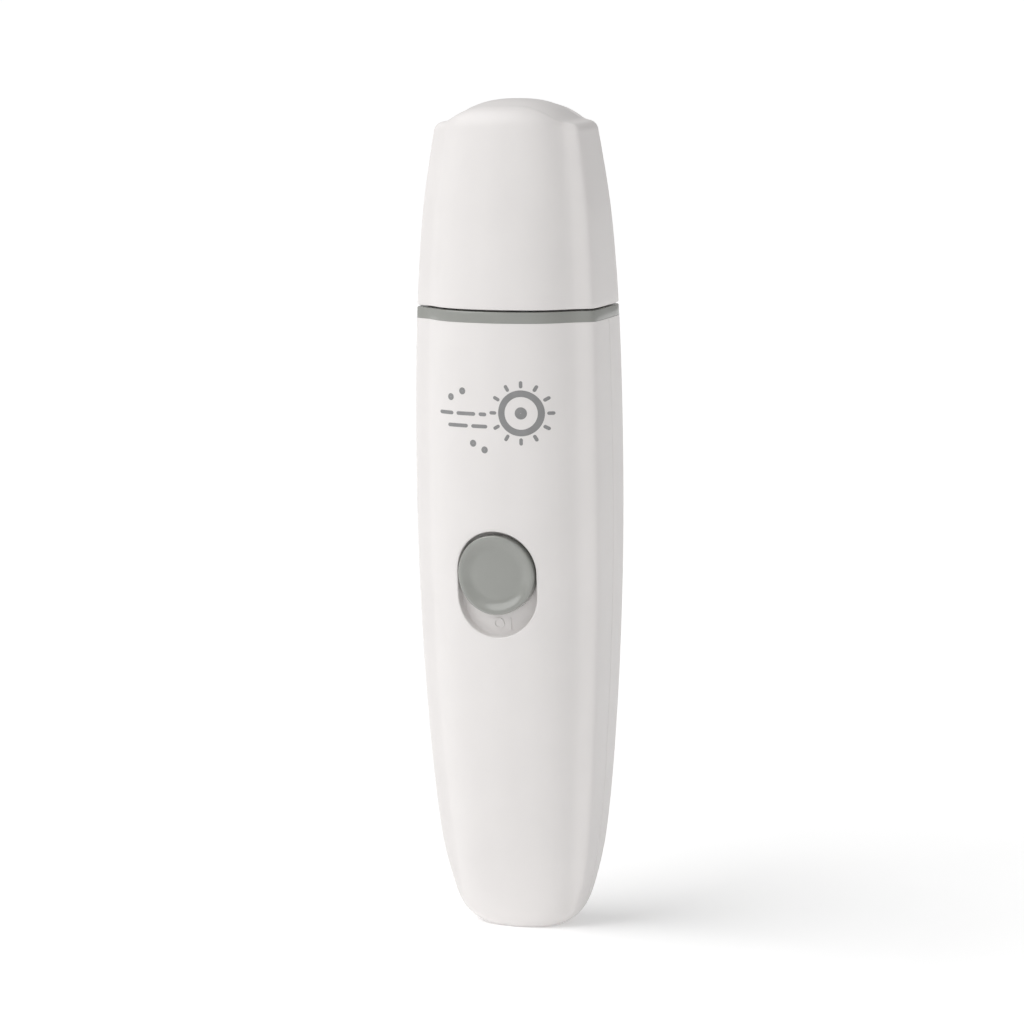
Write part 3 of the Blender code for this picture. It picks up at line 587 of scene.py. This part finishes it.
def front_shell(mat):
    """Front half with the switch recess, its screw bosses and their pilot holes."""
    margin = 3.2
    half_width, half_height = RECESS_HALF
    surface, (outer_loop, inner_loop) = half_shell(
        -1, (half_width + margin, RECESS_Z - half_height - margin, RECESS_Z + half_height + margin))
    around = np.array([surface.points[i] for i in outer_loop])
    angle = np.arctan2(around[:, 2] - RECESS_Z, around[:, 0])
    reach_out = np.hypot(around[:, 0], around[:, 2] - RECESS_Z)
    surface.bands([outer_loop] + surface.rings(recess_rings(angle, reach_out)) + [inner_loop])
    shell = add("front_shell_form", surface.mesh("front_shell_form"), mat)
    bosses = join("bosses", [boss_mesh(x, z, FRONT_BOSS_R, -1) for x, z in SCREW_PLACES])
    cut(shell, bosses, "UNION")
    pilots = [turned("pilot", [(1.1, -6.2), (1.1, 4)], (x, 0, z), "Y", 24) for x, z in SCREW_PLACES]
    cut(shell, join("pilots", pilots))
    return place(shell, "handle", "white_plastic", "front_shell")


def boss_mesh(x, z, radius, side):
    """Screw boss from the parting plane into the skin's thickness, following the form."""
    turns = np.linspace(0, 2 * pi, 40, endpoint=False)
    px, pz = x + radius * np.cos(turns), z + radius * np.sin(turns)
    reach = np.abs(surface_y(px, pz, 0.9))
    flat = np.full(len(turns), SEAM / 2 + 0.1)
    far = np.maximum(reach, flat + 0.5)
    return loft("boss", [np.stack((px, side * flat, pz), 1), np.stack((px, side * far, pz), 1)])


def rounded_outline(half_width, low, high, corner, step=0.5):
    """Points of a rounded rectangle in the XZ plane, no further apart than about step."""
    corners = ((1, high, 0), (-1, high, 90), (-1, low, 180), (1, low, 270))
    points = []
    for cx, cz, start in corners:
        centre = (cx * (half_width - corner), cz - corner if cz == high else cz + corner)
        for k in range(13):
            a = radians(start + 90 * k / 12)
            points.append((centre[0] + corner * cos(a), centre[1] + corner * sin(a)))
    dense = []
    for (x0, z0), (x1, z1) in zip(points, points[1:] + points[:1]):
        pieces = max(1, int(np.hypot(x1 - x0, z1 - z0) / step))
        dense += [(x0 + (x1 - x0) * k / pieces, z0 + (z1 - z0) * k / pieces) for k in range(pieces)]
    return np.array(dense)


def door_plug(name, grow, chamfer, flare):
    """Prism through the back whose sides break into a chamfer at the surface; flare is 1 for a hole
    that widens outwards and -1 for a panel that narrows."""
    high, half_width = high_of("battery_door").z, high_of("battery_door").x

    def outline(more):
        return rounded_outline(half_width + grow + more, DOOR_LOW - grow - more, high + grow + more,
                               DOOR_CORNER + more)

    rings = []
    for more, inset in ((0.0, 8.0), (0.0, chamfer), (flare * chamfer, 0.0), (flare * chamfer, -7.0)):
        points = outline(more)
        rings.append(on_form(points[:, 0], points[:, 1], inset, 1))
    return loft(name, rings)


def rear_shell(mat):
    """Back half with its screw bosses, stepped bores and the opening for the door."""
    surface, _ = half_shell(1)
    shell = add("rear_shell_form", surface.mesh("rear_shell_form"), mat)
    cut(shell, join("bosses", [boss_mesh(x, z, REAR_BOSS_R, 1) for x, z in SCREW_PLACES]), "UNION")
    bores = [turned("bore", [(1.4, -3), (1.4, SCREW_SEAT), (2.2, SCREW_SEAT), (2.2, 30)], (x, 0, z), "Y", 40)
             for x, z in SCREW_PLACES]
    cut(shell, join("bores", bores))
    cut(shell, door_plug("door_opening", DOOR_GAP, DOOR_CHAMFER, 1))
    return place(shell, "handle", "white_plastic", "rear_shell")


def battery_door(mat):
    """Door panel cut from the same skin, with finger grooves near its upper end and the lug that
    hooks it in below."""
    low, high = DOOR_LOW, high_of("battery_door").z
    rings = []
    for z in np.arange(low - 6, high + 6, ROW_STEP):
        out, back = half_row(z, 0.0, 1), half_row(z, WALL, 1)
        rings.append(np.concatenate((out, back[::-1])))
    door = add("battery_door_form", loft("battery_door_form", rings), mat)
    cut(door, door_plug("door_panel", 0.0, DOOR_CHAMFER, -1), "INTERSECT")
    middle = GROOVE_COUNT // 2
    grooves = [groove(high - 9 - GROOVE_STEP * k, 6.5 - 0.45 * abs(k - middle)) for k in range(GROOVE_COUNT)]
    cut(door, join("grooves", grooves))
    lugs = [block("lug", (-1.3, 5.9, low + 0.4), (1.3, 9.9, low + 2.4)),
            block("lug", (-1.3, 5.9, low - 3.4), (1.3, 7.2, low + 2.2))]
    for lug in lugs:
        cut(door, lug, "UNION")
    return place(door, "battery_door", "white_plastic", "battery_door")


def groove(z, half_length):
    """Cutter for a shallow finger groove across the door."""
    points = np.array([(x, z + v) for x, v in stadium_points(half_length, 0.55)])
    rings = [on_form(points[:, 0], points[:, 1], inset, 1) for inset in (0.45, -1.0)]
    small = np.array([(x, z + v) for x, v in stadium_points(half_length - 0.3, 0.25)])
    rings.insert(0, on_form(small[:, 0], small[:, 1], 0.6, 1))
    return loft("groove", rings)


def stadium_points(half_length, radius, steps=12):
    """Outline of a bar with round ends, about the origin."""
    points = []
    for sign in (1, -1):
        for k in range(steps + 1):
            a = -pi / 2 + pi * k / steps + (0 if sign > 0 else pi)
            points.append((sign * (half_length - radius) + radius * cos(a), radius * sin(a)))
    return points


# --- cap, ring, neck, guard -----------------------------------------------------------------
def cap_height(x, y):
    """The cap's top: a dome over the tongue, running into lower shoulders over the rails."""
    half_width, fall_x, half_depth, fall_y = DOME
    dome = (LENGTH - fall_x * (np.abs(x) / half_width) ** DOME_POWER
            - fall_y * (np.abs(y) / half_depth) ** DOME_POWER)
    shoulder = LENGTH - SHOULDER[1] - SHOULDER[2] * np.log(1 + np.exp(np.abs(x) - SHOULDER[0]))
    high, low = np.maximum(dome, shoulder), np.minimum(dome, shoulder)
    return high + DOME_BLEND * np.log(1 + np.exp((low - high) / DOME_BLEND))


def cap_rings(inset, bottom, rim=0.0, side_rings=30, edge_rings=8, top_rings=40):
    """Rings up the sides, round the top edge and in over the top, a distance inside the form. rim is
    the radius between the sides and the lower edge."""
    least_edge, first_guess, hole = 0.8, LENGTH - 8.0, 0.015
    a = FULL_TURN
    c, s = np.cos(a), np.sin(a)
    at_rails, at_tongue = CAP_EDGE_SPAN
    t = np.clip((np.abs(s) - at_rails) / (at_tongue - at_rails), 0.0, 1.0)
    edge = np.maximum(CAP_EDGE[0] + (CAP_EDGE[1] - CAP_EDGE[0]) * t * t * (3 - 2 * t) - inset, least_edge)
    reach = form_radius(a, first_guess, inset) - edge
    for _ in range(3):                      # the top's height depends on the reach, and the reach on it
        top = cap_height(reach * c, reach * s) - inset - edge
        reach = form_radius(a, top, inset) - edge
    rings = []
    for turn in np.linspace(0, pi / 2, 5)[:-1] if rim else ():
        z = bottom + rim * (1 - sin(turn))
        rings.append((form_radius(a, z, inset) - rim * (1 - cos(turn)), np.full(len(a), z)))
    rings = rings[::-1]
    start = bottom + rim
    for k in range(side_rings + 1):
        z = start + (top - start) * k / side_rings
        rings.append((form_radius(a, z, inset), z))
    for k in range(1, edge_rings + 1):
        turn = pi / 2 * k / edge_rings
        rings.append((reach + edge * cos(turn), top + edge * sin(turn)))
    for k in range(1, top_rings + 1):
        r = reach * (1 - (1 - hole) * k / top_rings)
        rings.append((r, cap_height(r * c, r * s) - inset))
    return [np.stack((r * c, r * s, z), 1) for r, z in rings]


def two_skins(name, outer, inner, mat):
    """Hollow moulding, open below, from the rings of its outer and inner skins, listed upwards."""
    return add(name, loft(name, inner[::-1] + outer), mat)


def cap(mat):
    outer = cap_rings(0.0, CAP_BOTTOM, rim=0.28)
    inner = cap_rings(WALL, CAP_BOTTOM, side_rings=16, edge_rings=4, top_rings=12)
    piece = two_skins("cap_form", outer, inner, mat)
    return place(piece, "cap", "white_plastic", "cap")


def sleeve(name, profile, mat):
    """Tube that follows the form: profile is a closed list of (height, inset)."""
    return add(name, loft(name, [form_ring(z, inset) for z, inset in profile], closed=True), mat)


def trim_ring(mat):
    """Coloured ring on top of the shells, with a rounder upper edge that shows below the cap."""
    low, high = SHELL_TOP + 0.02, RING_Z[1]
    soft, inside = 0.05, NECK_OUT - 0.35
    profile = [(low, soft), (low + soft, 0.0), (high - 0.22, 0.0), (high - 0.06, 0.07),
               (high, 0.24), (high, inside), (low, inside)]
    return place(sleeve("trim_ring_form", profile, mat), "handle", "grey_green_plastic", "trim_ring")


def neck(mat):
    """Tube that the cap slides over, thicker at its foot."""
    bottom, top = low_of("neck").z, high_of("neck").z
    soft = 0.2
    profile = [(bottom, FLANGE_OUT), (FLANGE_TOP, FLANGE_OUT), (FLANGE_TOP, NECK_OUT)]
    profile += [(z, NECK_OUT) for z in np.linspace(FLANGE_TOP, top - soft, 8)[1:]]
    profile += [(top - 0.06, NECK_OUT + 0.06), (top, NECK_OUT + soft)]
    profile += [(z, NECK_IN) for z in np.linspace(top, bottom, 8)]
    return place(sleeve("neck_form", profile, mat), "handle", "guard_plastic", "neck")


def nail_guard(mat):
    """Inner dome with the window that a claw goes through, its edge broken all round."""
    bottom = low_of("nail_guard").z
    outer = cap_rings(GUARD_OUT, bottom, rim=0.15, side_rings=20, edge_rings=6, top_rings=24)
    inner = cap_rings(GUARD_IN, bottom, side_rings=12, edge_rings=4, top_rings=10)
    guard = two_skins("nail_guard_form", outer, inner, mat)
    x0, x1, z0, z1 = NAIL_WINDOW
    middle = (x0 + x1) / 2
    corner, chamfer = 3.0, 0.35
    rings = []
    for more, inset in ((0.0, GUARD_IN + 4), (0.0, GUARD_OUT + chamfer), (chamfer, GUARD_OUT),
                        (chamfer, -1.0)):
        points = rounded_outline((x1 - x0) / 2 + more, z0 - more, z1 + more, corner + more)
        rings.append(on_form(points[:, 0] + middle, points[:, 1], inset))
    cut(guard, loft("window", rings))
    return place(guard, "handle", "guard_plastic", "nail_guard")


def grip_band(mat):
    """Rubber band round the neck, with a bulging face towards the cap."""
    low, high = low_of("cap_grip_band").z, high_of("cap_grip_band").z
    middle, half = (low + high) / 2, (high - low) / 2
    crown, bulge, inside = 2.3, 0.35, NECK_OUT - 0.3
    profile = [(low, inside), (low, crown + bulge)]
    profile += [(middle + half * sin(t), crown + bulge * (1 - cos(t)))
                for t in np.linspace(-pi / 2, pi / 2, 9)][1:-1]
    profile += [(high, crown + bulge), (high, inside)]
    return place(sleeve("cap_grip_band_form", profile, mat), "handle", "rubber", "cap_grip_band")


# --- switch button --------------------------------------------------------------------------
def switch_button(mat):
    """Thumb button whose face follows the handle: a rounded edge, a fine crest and a flat-bottomed dish."""
    angle = np.linspace(0, 2 * pi, 160, endpoint=False)

    def ring(reach, inset):
        return on_form(reach * np.cos(angle), BUTTON_Z + reach * np.sin(angle), inset)

    depth, flat, rounding = 1.15, 5.0, 0.34
    crest = BUTTON_R - rounding
    back = RECESS_DEPTH - 0.4
    rings = [ring(r, depth - BUTTON_RISE) for r in (0.25, 1.2, 2.4, 3.6, flat)]
    for t in np.linspace(0, 1, 15)[1:]:
        rings.append(ring(flat + (crest - flat) * t, depth * (1 + cos(pi * t ** 1.25)) / 2 - BUTTON_RISE))
    for turn in np.linspace(0, pi / 2, 8)[1:]:
        rings.append(ring(crest + (BUTTON_R - crest) * sin(turn), rounding * (1 - cos(turn)) - BUTTON_RISE))
    rings += [ring(BUTTON_R, back - 0.3), ring(BUTTON_R - 0.3, back)]
    square = STEM / np.maximum(np.abs(np.cos(angle)), np.abs(np.sin(angle)))
    rings.append(ring((BUTTON_R + square) / 2, back))
    rings.append(ring(square, back))
    foot = ring(square, back)
    foot[:, 1] = high_of("switch_button").y
    rings.append(foot)
    piece = add("switch_button_form", loft("switch_button_form", rings), mat)
    return place(piece, "switch", "grey_green_plastic", "switch_button")


# --- marks ----------------------------------------------------------------------------------
def ribbon(surface, inside, outside, proud, sunk, closed, across=1):
    """Thin solid on the form's front between two lines of points of the XZ plane, split across into
    that many strips so that it follows the curve."""
    inside, outside = np.array(inside), np.array(outside)
    lines = [(inside + (outside - inside) * t, -proud) for t in np.linspace(0, 1, across + 1)]
    lines += [(inside + (outside - inside) * t, sunk) for t in np.linspace(1, 0, across + 1)]
    loops = surface.rings(on_form(line[:, 0], line[:, 1], inset) for line, inset in lines)
    surface.bands(loops + [loops[0]], closed)
    if not closed:
        for end in (0, -1):
            surface.lid([loop[end] for loop in loops])


def circle(x, z, radius, steps=72):
    """Points of a circle in the XZ plane."""
    turns = np.linspace(0, 2 * pi, steps, endpoint=False)
    return [(x + radius * cos(t), z + radius * sin(t)) for t in turns]


def bar(x0, z0, x1, z1, width, steps=14):
    """Two sides of a bar with round ends."""
    along = np.array((x1 - x0, z1 - z0))
    length = np.hypot(*along)
    along = along / length
    across = np.array((-along[1], along[0]))
    places = (1 - np.cos(np.linspace(0.02, pi - 0.02, steps))) / 2 * (length + width) - width / 2
    over = np.maximum(np.maximum(-places, places - length), 0)
    half = np.sqrt(np.maximum((width / 2) ** 2 - over ** 2, 1e-5))
    line = np.array((x0, z0)) + np.outer(places, along)
    return line - np.outer(half, across), line + np.outer(half, across)


def printed_mark(mat):
    """Generic pictogram printed above the switch: a grinding wheel with its sparks."""
    surface = Surface()
    proud, sunk, pinhole = 0.015, 0.05, 0.05
    x, z = 6.4, 114.3
    ribbon(surface, circle(x, z, 3.5), circle(x, z, 4.9), proud, sunk, True, 6)
    ribbon(surface, circle(x, z, pinhole, 36), circle(x, z, 1.3, 36), proud, sunk, True, 5)
    teeth, start, stop = 12, 5.7, 6.5
    for k in range(teeth):
        turn = 2 * pi * k / teeth
        c, s = cos(turn), sin(turn)
        tooth = bar(x + start * c, z + start * s, x + stop * c, z + stop * s, 0.75)
        ribbon(surface, *tooth, proud, sunk, False)
    for x0, x1, level in ((-12.4, -9.6, 113.9), (-8.0, -4.2, 113.9), (-2.6, -1.6, 113.9),
                          (-10.2, -6.0, 111.3), (-4.4, -1.4, 111.3)):
        ribbon(surface, *bar(x0, level, x1, level, 0.8), proud, sunk, False)
    for px, pz in ((-9.8, 117.3), (-6.9, 118.7), (-4.4, 107.6), (-1.7, 106.3)):
        ribbon(surface, circle(px, pz, pinhole, 24), circle(px, pz, 0.75, 24), proud, sunk, True, 3)
    piece = add("printed_mark", surface.mesh("printed_mark"), mat)
    return place(piece, "handle", "grey_green_plastic")


def position_mark(mat):
    """Raised ring and bar, the usual signs for off and on, on the recess floor below the button."""
    surface = Surface()
    ring_x, bar_x, z = -0.3, 2.3, RECESS_Z - 8.8
    rise, sunk = 0.16 - RECESS_DEPTH, RECESS_DEPTH + 0.2
    ribbon(surface, circle(ring_x, z, 0.85, 40), circle(ring_x, z, 1.25, 40), rise, sunk, True)
    ribbon(surface, *bar(bar_x, z - 1.05, bar_x, z + 1.05, 0.42), rise, sunk, False)
    piece = add("position_mark", surface.mesh("position_mark"), mat)
    return place(piece, "handle", "white_plastic")


# --- drum -----------------------------------------------------------------------------------
def emery_band(mat):
    """Abrasive sleeve with standing grains and the lap of its cloth."""
    low, high = low_of("emery_band"), high_of("emery_band")
    outer = (high.z - low.z) / 2 - 0.05
    inner = outer - 0.85
    steps, across = 300, 64
    rng = np.random.default_rng(7)
    turns = np.linspace(0, 2 * pi, steps, endpoint=False)
    lap_at, lap_length, lap_height = 1.2, 0.9, 0.10
    lap = lap_height * np.clip(1 - np.abs(turns - lap_at) / lap_length, 0, 1) * (turns > lap_at)
    rings = []
    for x in np.linspace(low.x, high.x, across):
        edge = 0.15 if x in (low.x, high.x) else 0.0
        radius = outer - edge - lap + rng.uniform(-0.05, 0.05, steps)
        rings.append(around_axle(x, radius, turns))
    for x in (high.x, low.x):
        rings.append(around_axle(x, inner, turns))
    piece = add("emery_band_form", loft("emery_band_form", rings, closed=True), mat)
    return place(piece, "drum", "emery_cloth", "emery_band")


def around_axle(x, radius, turns):
    """Ring of points about the drum's axle."""
    return np.stack((np.full(len(turns), x), radius * np.sin(turns), AXLE_Z + radius * np.cos(turns)), 1)


# --- cells, springs, screws -----------------------------------------------------------------
def cells(jacket, metal, stripe):
    """Four cells, two up and two down: a metal cup and nub in a printed sleeve."""
    for number in range(1, 5):
        node = f"cell_{number}"
        low, high = low_of(node), high_of(node)
        centre = middle_of(node)
        length = high.z - low.z
        up = number <= 2
        body = [(CELL_R - 0.7, 0.0), (CELL_R - 0.35, 0.08), (CELL_R - 0.1, 0.35), (CELL_R, 0.7)]
        body += [(CELL_R, h) for h in (1.2, 12.0, 12.6, STRIPE_FROM)]
        body += [(CELL_R, length - 3), (CELL_R, length - 1.9), (CELL_R - 0.3, length - 1.35)]
        body += [(CELL_R - 1.4, length - 1.1), (3.2, length - 1.05), (2.75, length - 0.9)]
        body += [(2.7, length - 0.25), (2.45, length)]
        if not up:
            body = [(r, length - h) for r, h in reversed(body)]
        mesh = turned(node + "_form", body, (centre.x, centre.y, low.z), "Z", 64)
        piece = add(node + "_form", mesh, jacket, metal, stripe)
        for face in mesh.polygons:
            h = face.center.z / MM - low.z
            h = h if up else length - h
            r = np.hypot(face.center.x / MM - centre.x, face.center.y / MM - centre.y)
            if h < 0.5 or h > length - 1.5 or r < CELL_R - 0.9:
                face.material_index = 1
            elif h > STRIPE_FROM:
                face.material_index = 2
        place(piece, "handle", "cell_jacket", node)


SPRING_CENTRES = {"bottom_contact_spring": (-7.15, 0.5), "top_contact_spring": (7.15, 0.5)}


def spring(node, mat, turns=3, wire_r=0.3, radius=3.2):
    """Coil spring against a cell's flat end."""
    low, high = low_of(node), high_of(node)
    curve = bpy.data.curves.new(node, "CURVE")
    curve.dimensions = "3D"
    curve.bevel_depth = wire_r * MM
    curve.bevel_resolution = 4
    curve.use_fill_caps = True
    spline = curve.splines.new("POLY")
    points_per_turn = 40
    count = turns * points_per_turn
    spline.points.add(count)
    centre_x, centre_y = SPRING_CENTRES[node]
    for k, point in enumerate(spline.points):
        a = 2 * pi * k / points_per_turn
        z = low.z + wire_r + (high.z - low.z - 2 * wire_r) * k / count
        point.co = ((centre_x + radius * cos(a)) * MM, (centre_y + radius * sin(a)) * MM, z * MM, 1)
    return place(add(node + "_form", curve, mat), "handle", "steel", node)


def screws(mat):
    """Pan-head screws with a cross recess."""
    for node in ("casing_screw_1", "casing_screw_2", "casing_screw_3", "casing_screw_4"):
        low, high = low_of(node), high_of(node)
        x, z = (low.x + high.x) / 2, (low.z + high.z) / 2
        head_r, crest_r, root_r, pitch = 1.9, 1.1, 0.88, 0.6
        seat = high.y - 1.5
        head = [(head_r * cos(t), seat + 0.45 + 1.05 * sin(t)) for t in np.linspace(pi / 2 - 0.06, 0, 9)]
        profile = head + [(head_r, seat), (crest_r, seat)]
        for k in range(14):
            profile += [(crest_r, seat - 1.0 - pitch * k), (root_r, seat - 1.3 - pitch * k)]
        profile += [(crest_r, low.y + 1.2), (0.3, low.y)]
        piece = add(node + "_form", turned(node + "_form", profile, (x, 0, z), "Y", 48), mat)
        wing, reach, depth = 0.20, 1.1, 0.9
        top = high.y + 0.3
        for width, height in ((reach, wing), (wing, reach)):
            cutter = loft("slot", [[(x - width * w, y, z - height * w), (x + width * w, y, z - height * w),
                                    (x + width * w, y, z + height * w), (x - width * w, y, z + height * w)]
                                   for y, w in ((top - depth - 0.3, 0.75), (top, 1.0))])
            cut(piece, cutter)
        place(piece, "handle", "steel", node)


# --- room -----------------------------------------------------------------------------------
def floor():
    """Pale paper, 30 m across."""
    mesh = bpy.data.meshes.new("studio_floor")
    half = 15.0
    corners = [(-half, -half, 0), (half, -half, 0), (half, half, 0), (-half, half, 0)]
    mesh.from_pydata(corners, [], [(0, 1, 2, 3)])
    made = Recipe("floor_paper")
    made.colour(made.noise(40, 2.0), (0.90, 0.90, 0.90), (0.92, 0.92, 0.92))
    made.roughness(made.noise(3, 2.0), 0.85, 0.95)
    made.shader.inputs["Emission Color"].default_value = (1.0, 1.0, 1.0, 1.0)
    made.shader.inputs["Emission Strength"].default_value = 0.24
    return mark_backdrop(add("studio_floor", mesh, made.mat))


def direction(azimuth, elevation):
    """Unit vector to the right of the front and up, from degrees."""
    a, e = radians(azimuth), radians(elevation)
    return Vector((sin(a) * cos(e), -cos(a) * cos(e), sin(e)))


def lights():
    world = bpy.data.worlds.new("studio")
    world.use_nodes = True
    bpy.context.scene.world = world
    background = world.node_tree.nodes["Background"]
    background.inputs["Color"].default_value = (1.0, 1.0, 1.0, 1.0)
    background.inputs["Strength"].default_value = 0.41
    sun("key", strength=1.92, spread=60.0, azimuth=-58, elevation=48)
    sun("fill", strength=0.16, spread=60.0, azimuth=5, elevation=25)
    panel("strip", strength=0.55, size=(1.1, 0.16), distance=1.6, azimuth=8, elevation=58)


def sun(name, strength, spread, azimuth, elevation):
    """Very wide soft light."""
    lamp = bpy.data.lights.new(name, "SUN")
    lamp.energy = strength
    lamp.angle = radians(spread)
    turn = direction(azimuth, elevation).to_track_quat("Z", "Y").to_matrix().to_4x4()
    add(name, lamp).matrix_world = turn


def panel(name, strength, size, distance, azimuth, elevation):
    """Rectangular soft box aimed at the handle's middle."""
    lamp = bpy.data.lights.new(name, "AREA")
    lamp.shape = "RECTANGLE"
    lamp.energy = strength
    lamp.size, lamp.size_y = size
    toward = direction(azimuth, elevation)
    turn = toward.to_track_quat("Z", "Y").to_matrix().to_4x4()
    middle = Vector((0, 0, 0.09))
    add(name, lamp).matrix_world = Matrix.Translation(toward * distance + middle) @ turn


def camera():
    """Long lens a little above the handle's middle, to the right of straight on."""
    azimuth, elevation, roll = 20.5, 8.3, radians(-0.69)
    distance, aim = 0.9331, Vector((-0.00199, 0.0, 0.09054))
    back = direction(azimuth, elevation)
    right = Vector((cos(radians(azimuth)), sin(radians(azimuth)), 0.0))
    up = back.cross(right)
    right = right * cos(roll) + up * sin(roll)
    up = back.cross(right)
    lens = bpy.data.cameras.new("camera")
    lens.lens = 151.2
    lens.sensor_width = 36.0
    lens.clip_end = 100.0
    obj = add("camera", lens)
    turn = Matrix((right, up, back)).transposed().to_4x4()
    obj.matrix_world = Matrix.Translation(aim + back * distance) @ turn
    bpy.context.scene.camera = obj
    bpy.context.scene.view_settings.view_transform = "Standard"


def dress_frame(finishes):
    """Give each CAD node that stays in view the finish of its slot."""
    slots = {
        "guard_plastic": ("wheel_carrier",),
        "natural_plastic": ("battery_cradle", "motor_clamp", "drum_hub", "crown_gear"),
        "black_plastic": ("motor_end_bell", "switch_carriage", "wire_pack_to_motor"),
        "board": ("switch_board",),
        "steel": ("bottom_contact_plate", "top_contact_plate_left", "top_contact_plate_right",
                  "motor_can", "motor_shaft", "drum_axle"),
        "copper_windings": ("motor_armature",),
        "brass": ("motor_commutator", "motor_terminal_front", "motor_terminal_rear", "switch_wiper",
                  "switch_contact_left", "switch_contact_right", "pinion", "bushing_left",
                  "bushing_right"),
        "ferrite": ("motor_magnet_left", "motor_magnet_right"),
        "red_wire": ("wire_switch_to_motor", "wire_pack_to_switch"),
    }
    for slot, nodes in slots.items():
        for node in nodes:
            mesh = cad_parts[node].data
            mesh.materials.clear()
            mesh.materials.append(finishes[slot])


finishes = make_finishes()
dress_frame(finishes)
print_grey = matte("print_grey", (0.235, 0.235, 0.235), (0.262, 0.262, 0.262), 0.4, 0.002,
                   (0.45, 0.55))
cell_stripe = matte("cell_stripe", (0.42, 0.24, 0.10), (0.50, 0.30, 0.13), 2.0, 0.004, (0.22, 0.30))
front_shell(finishes["white_plastic"])
rear_shell(finishes["white_plastic"])
battery_door(finishes["white_plastic"])
cap(finishes["white_plastic"])
trim_ring(finishes["grey_green_plastic"])
neck(finishes["guard_plastic"])
nail_guard(finishes["guard_plastic"])
grip_band(finishes["rubber"])
switch_button(finishes["grey_green_plastic"])
printed_mark(print_grey)
position_mark(finishes["white_plastic"])
emery_band(finishes["emery_cloth"])
cells(finishes["cell_jacket"], finishes["steel"], cell_stripe)
for node in SPRING_CENTRES:
    spring(node, finishes["steel"])
screws(finishes["steel"])
floor()
lights()
camera()
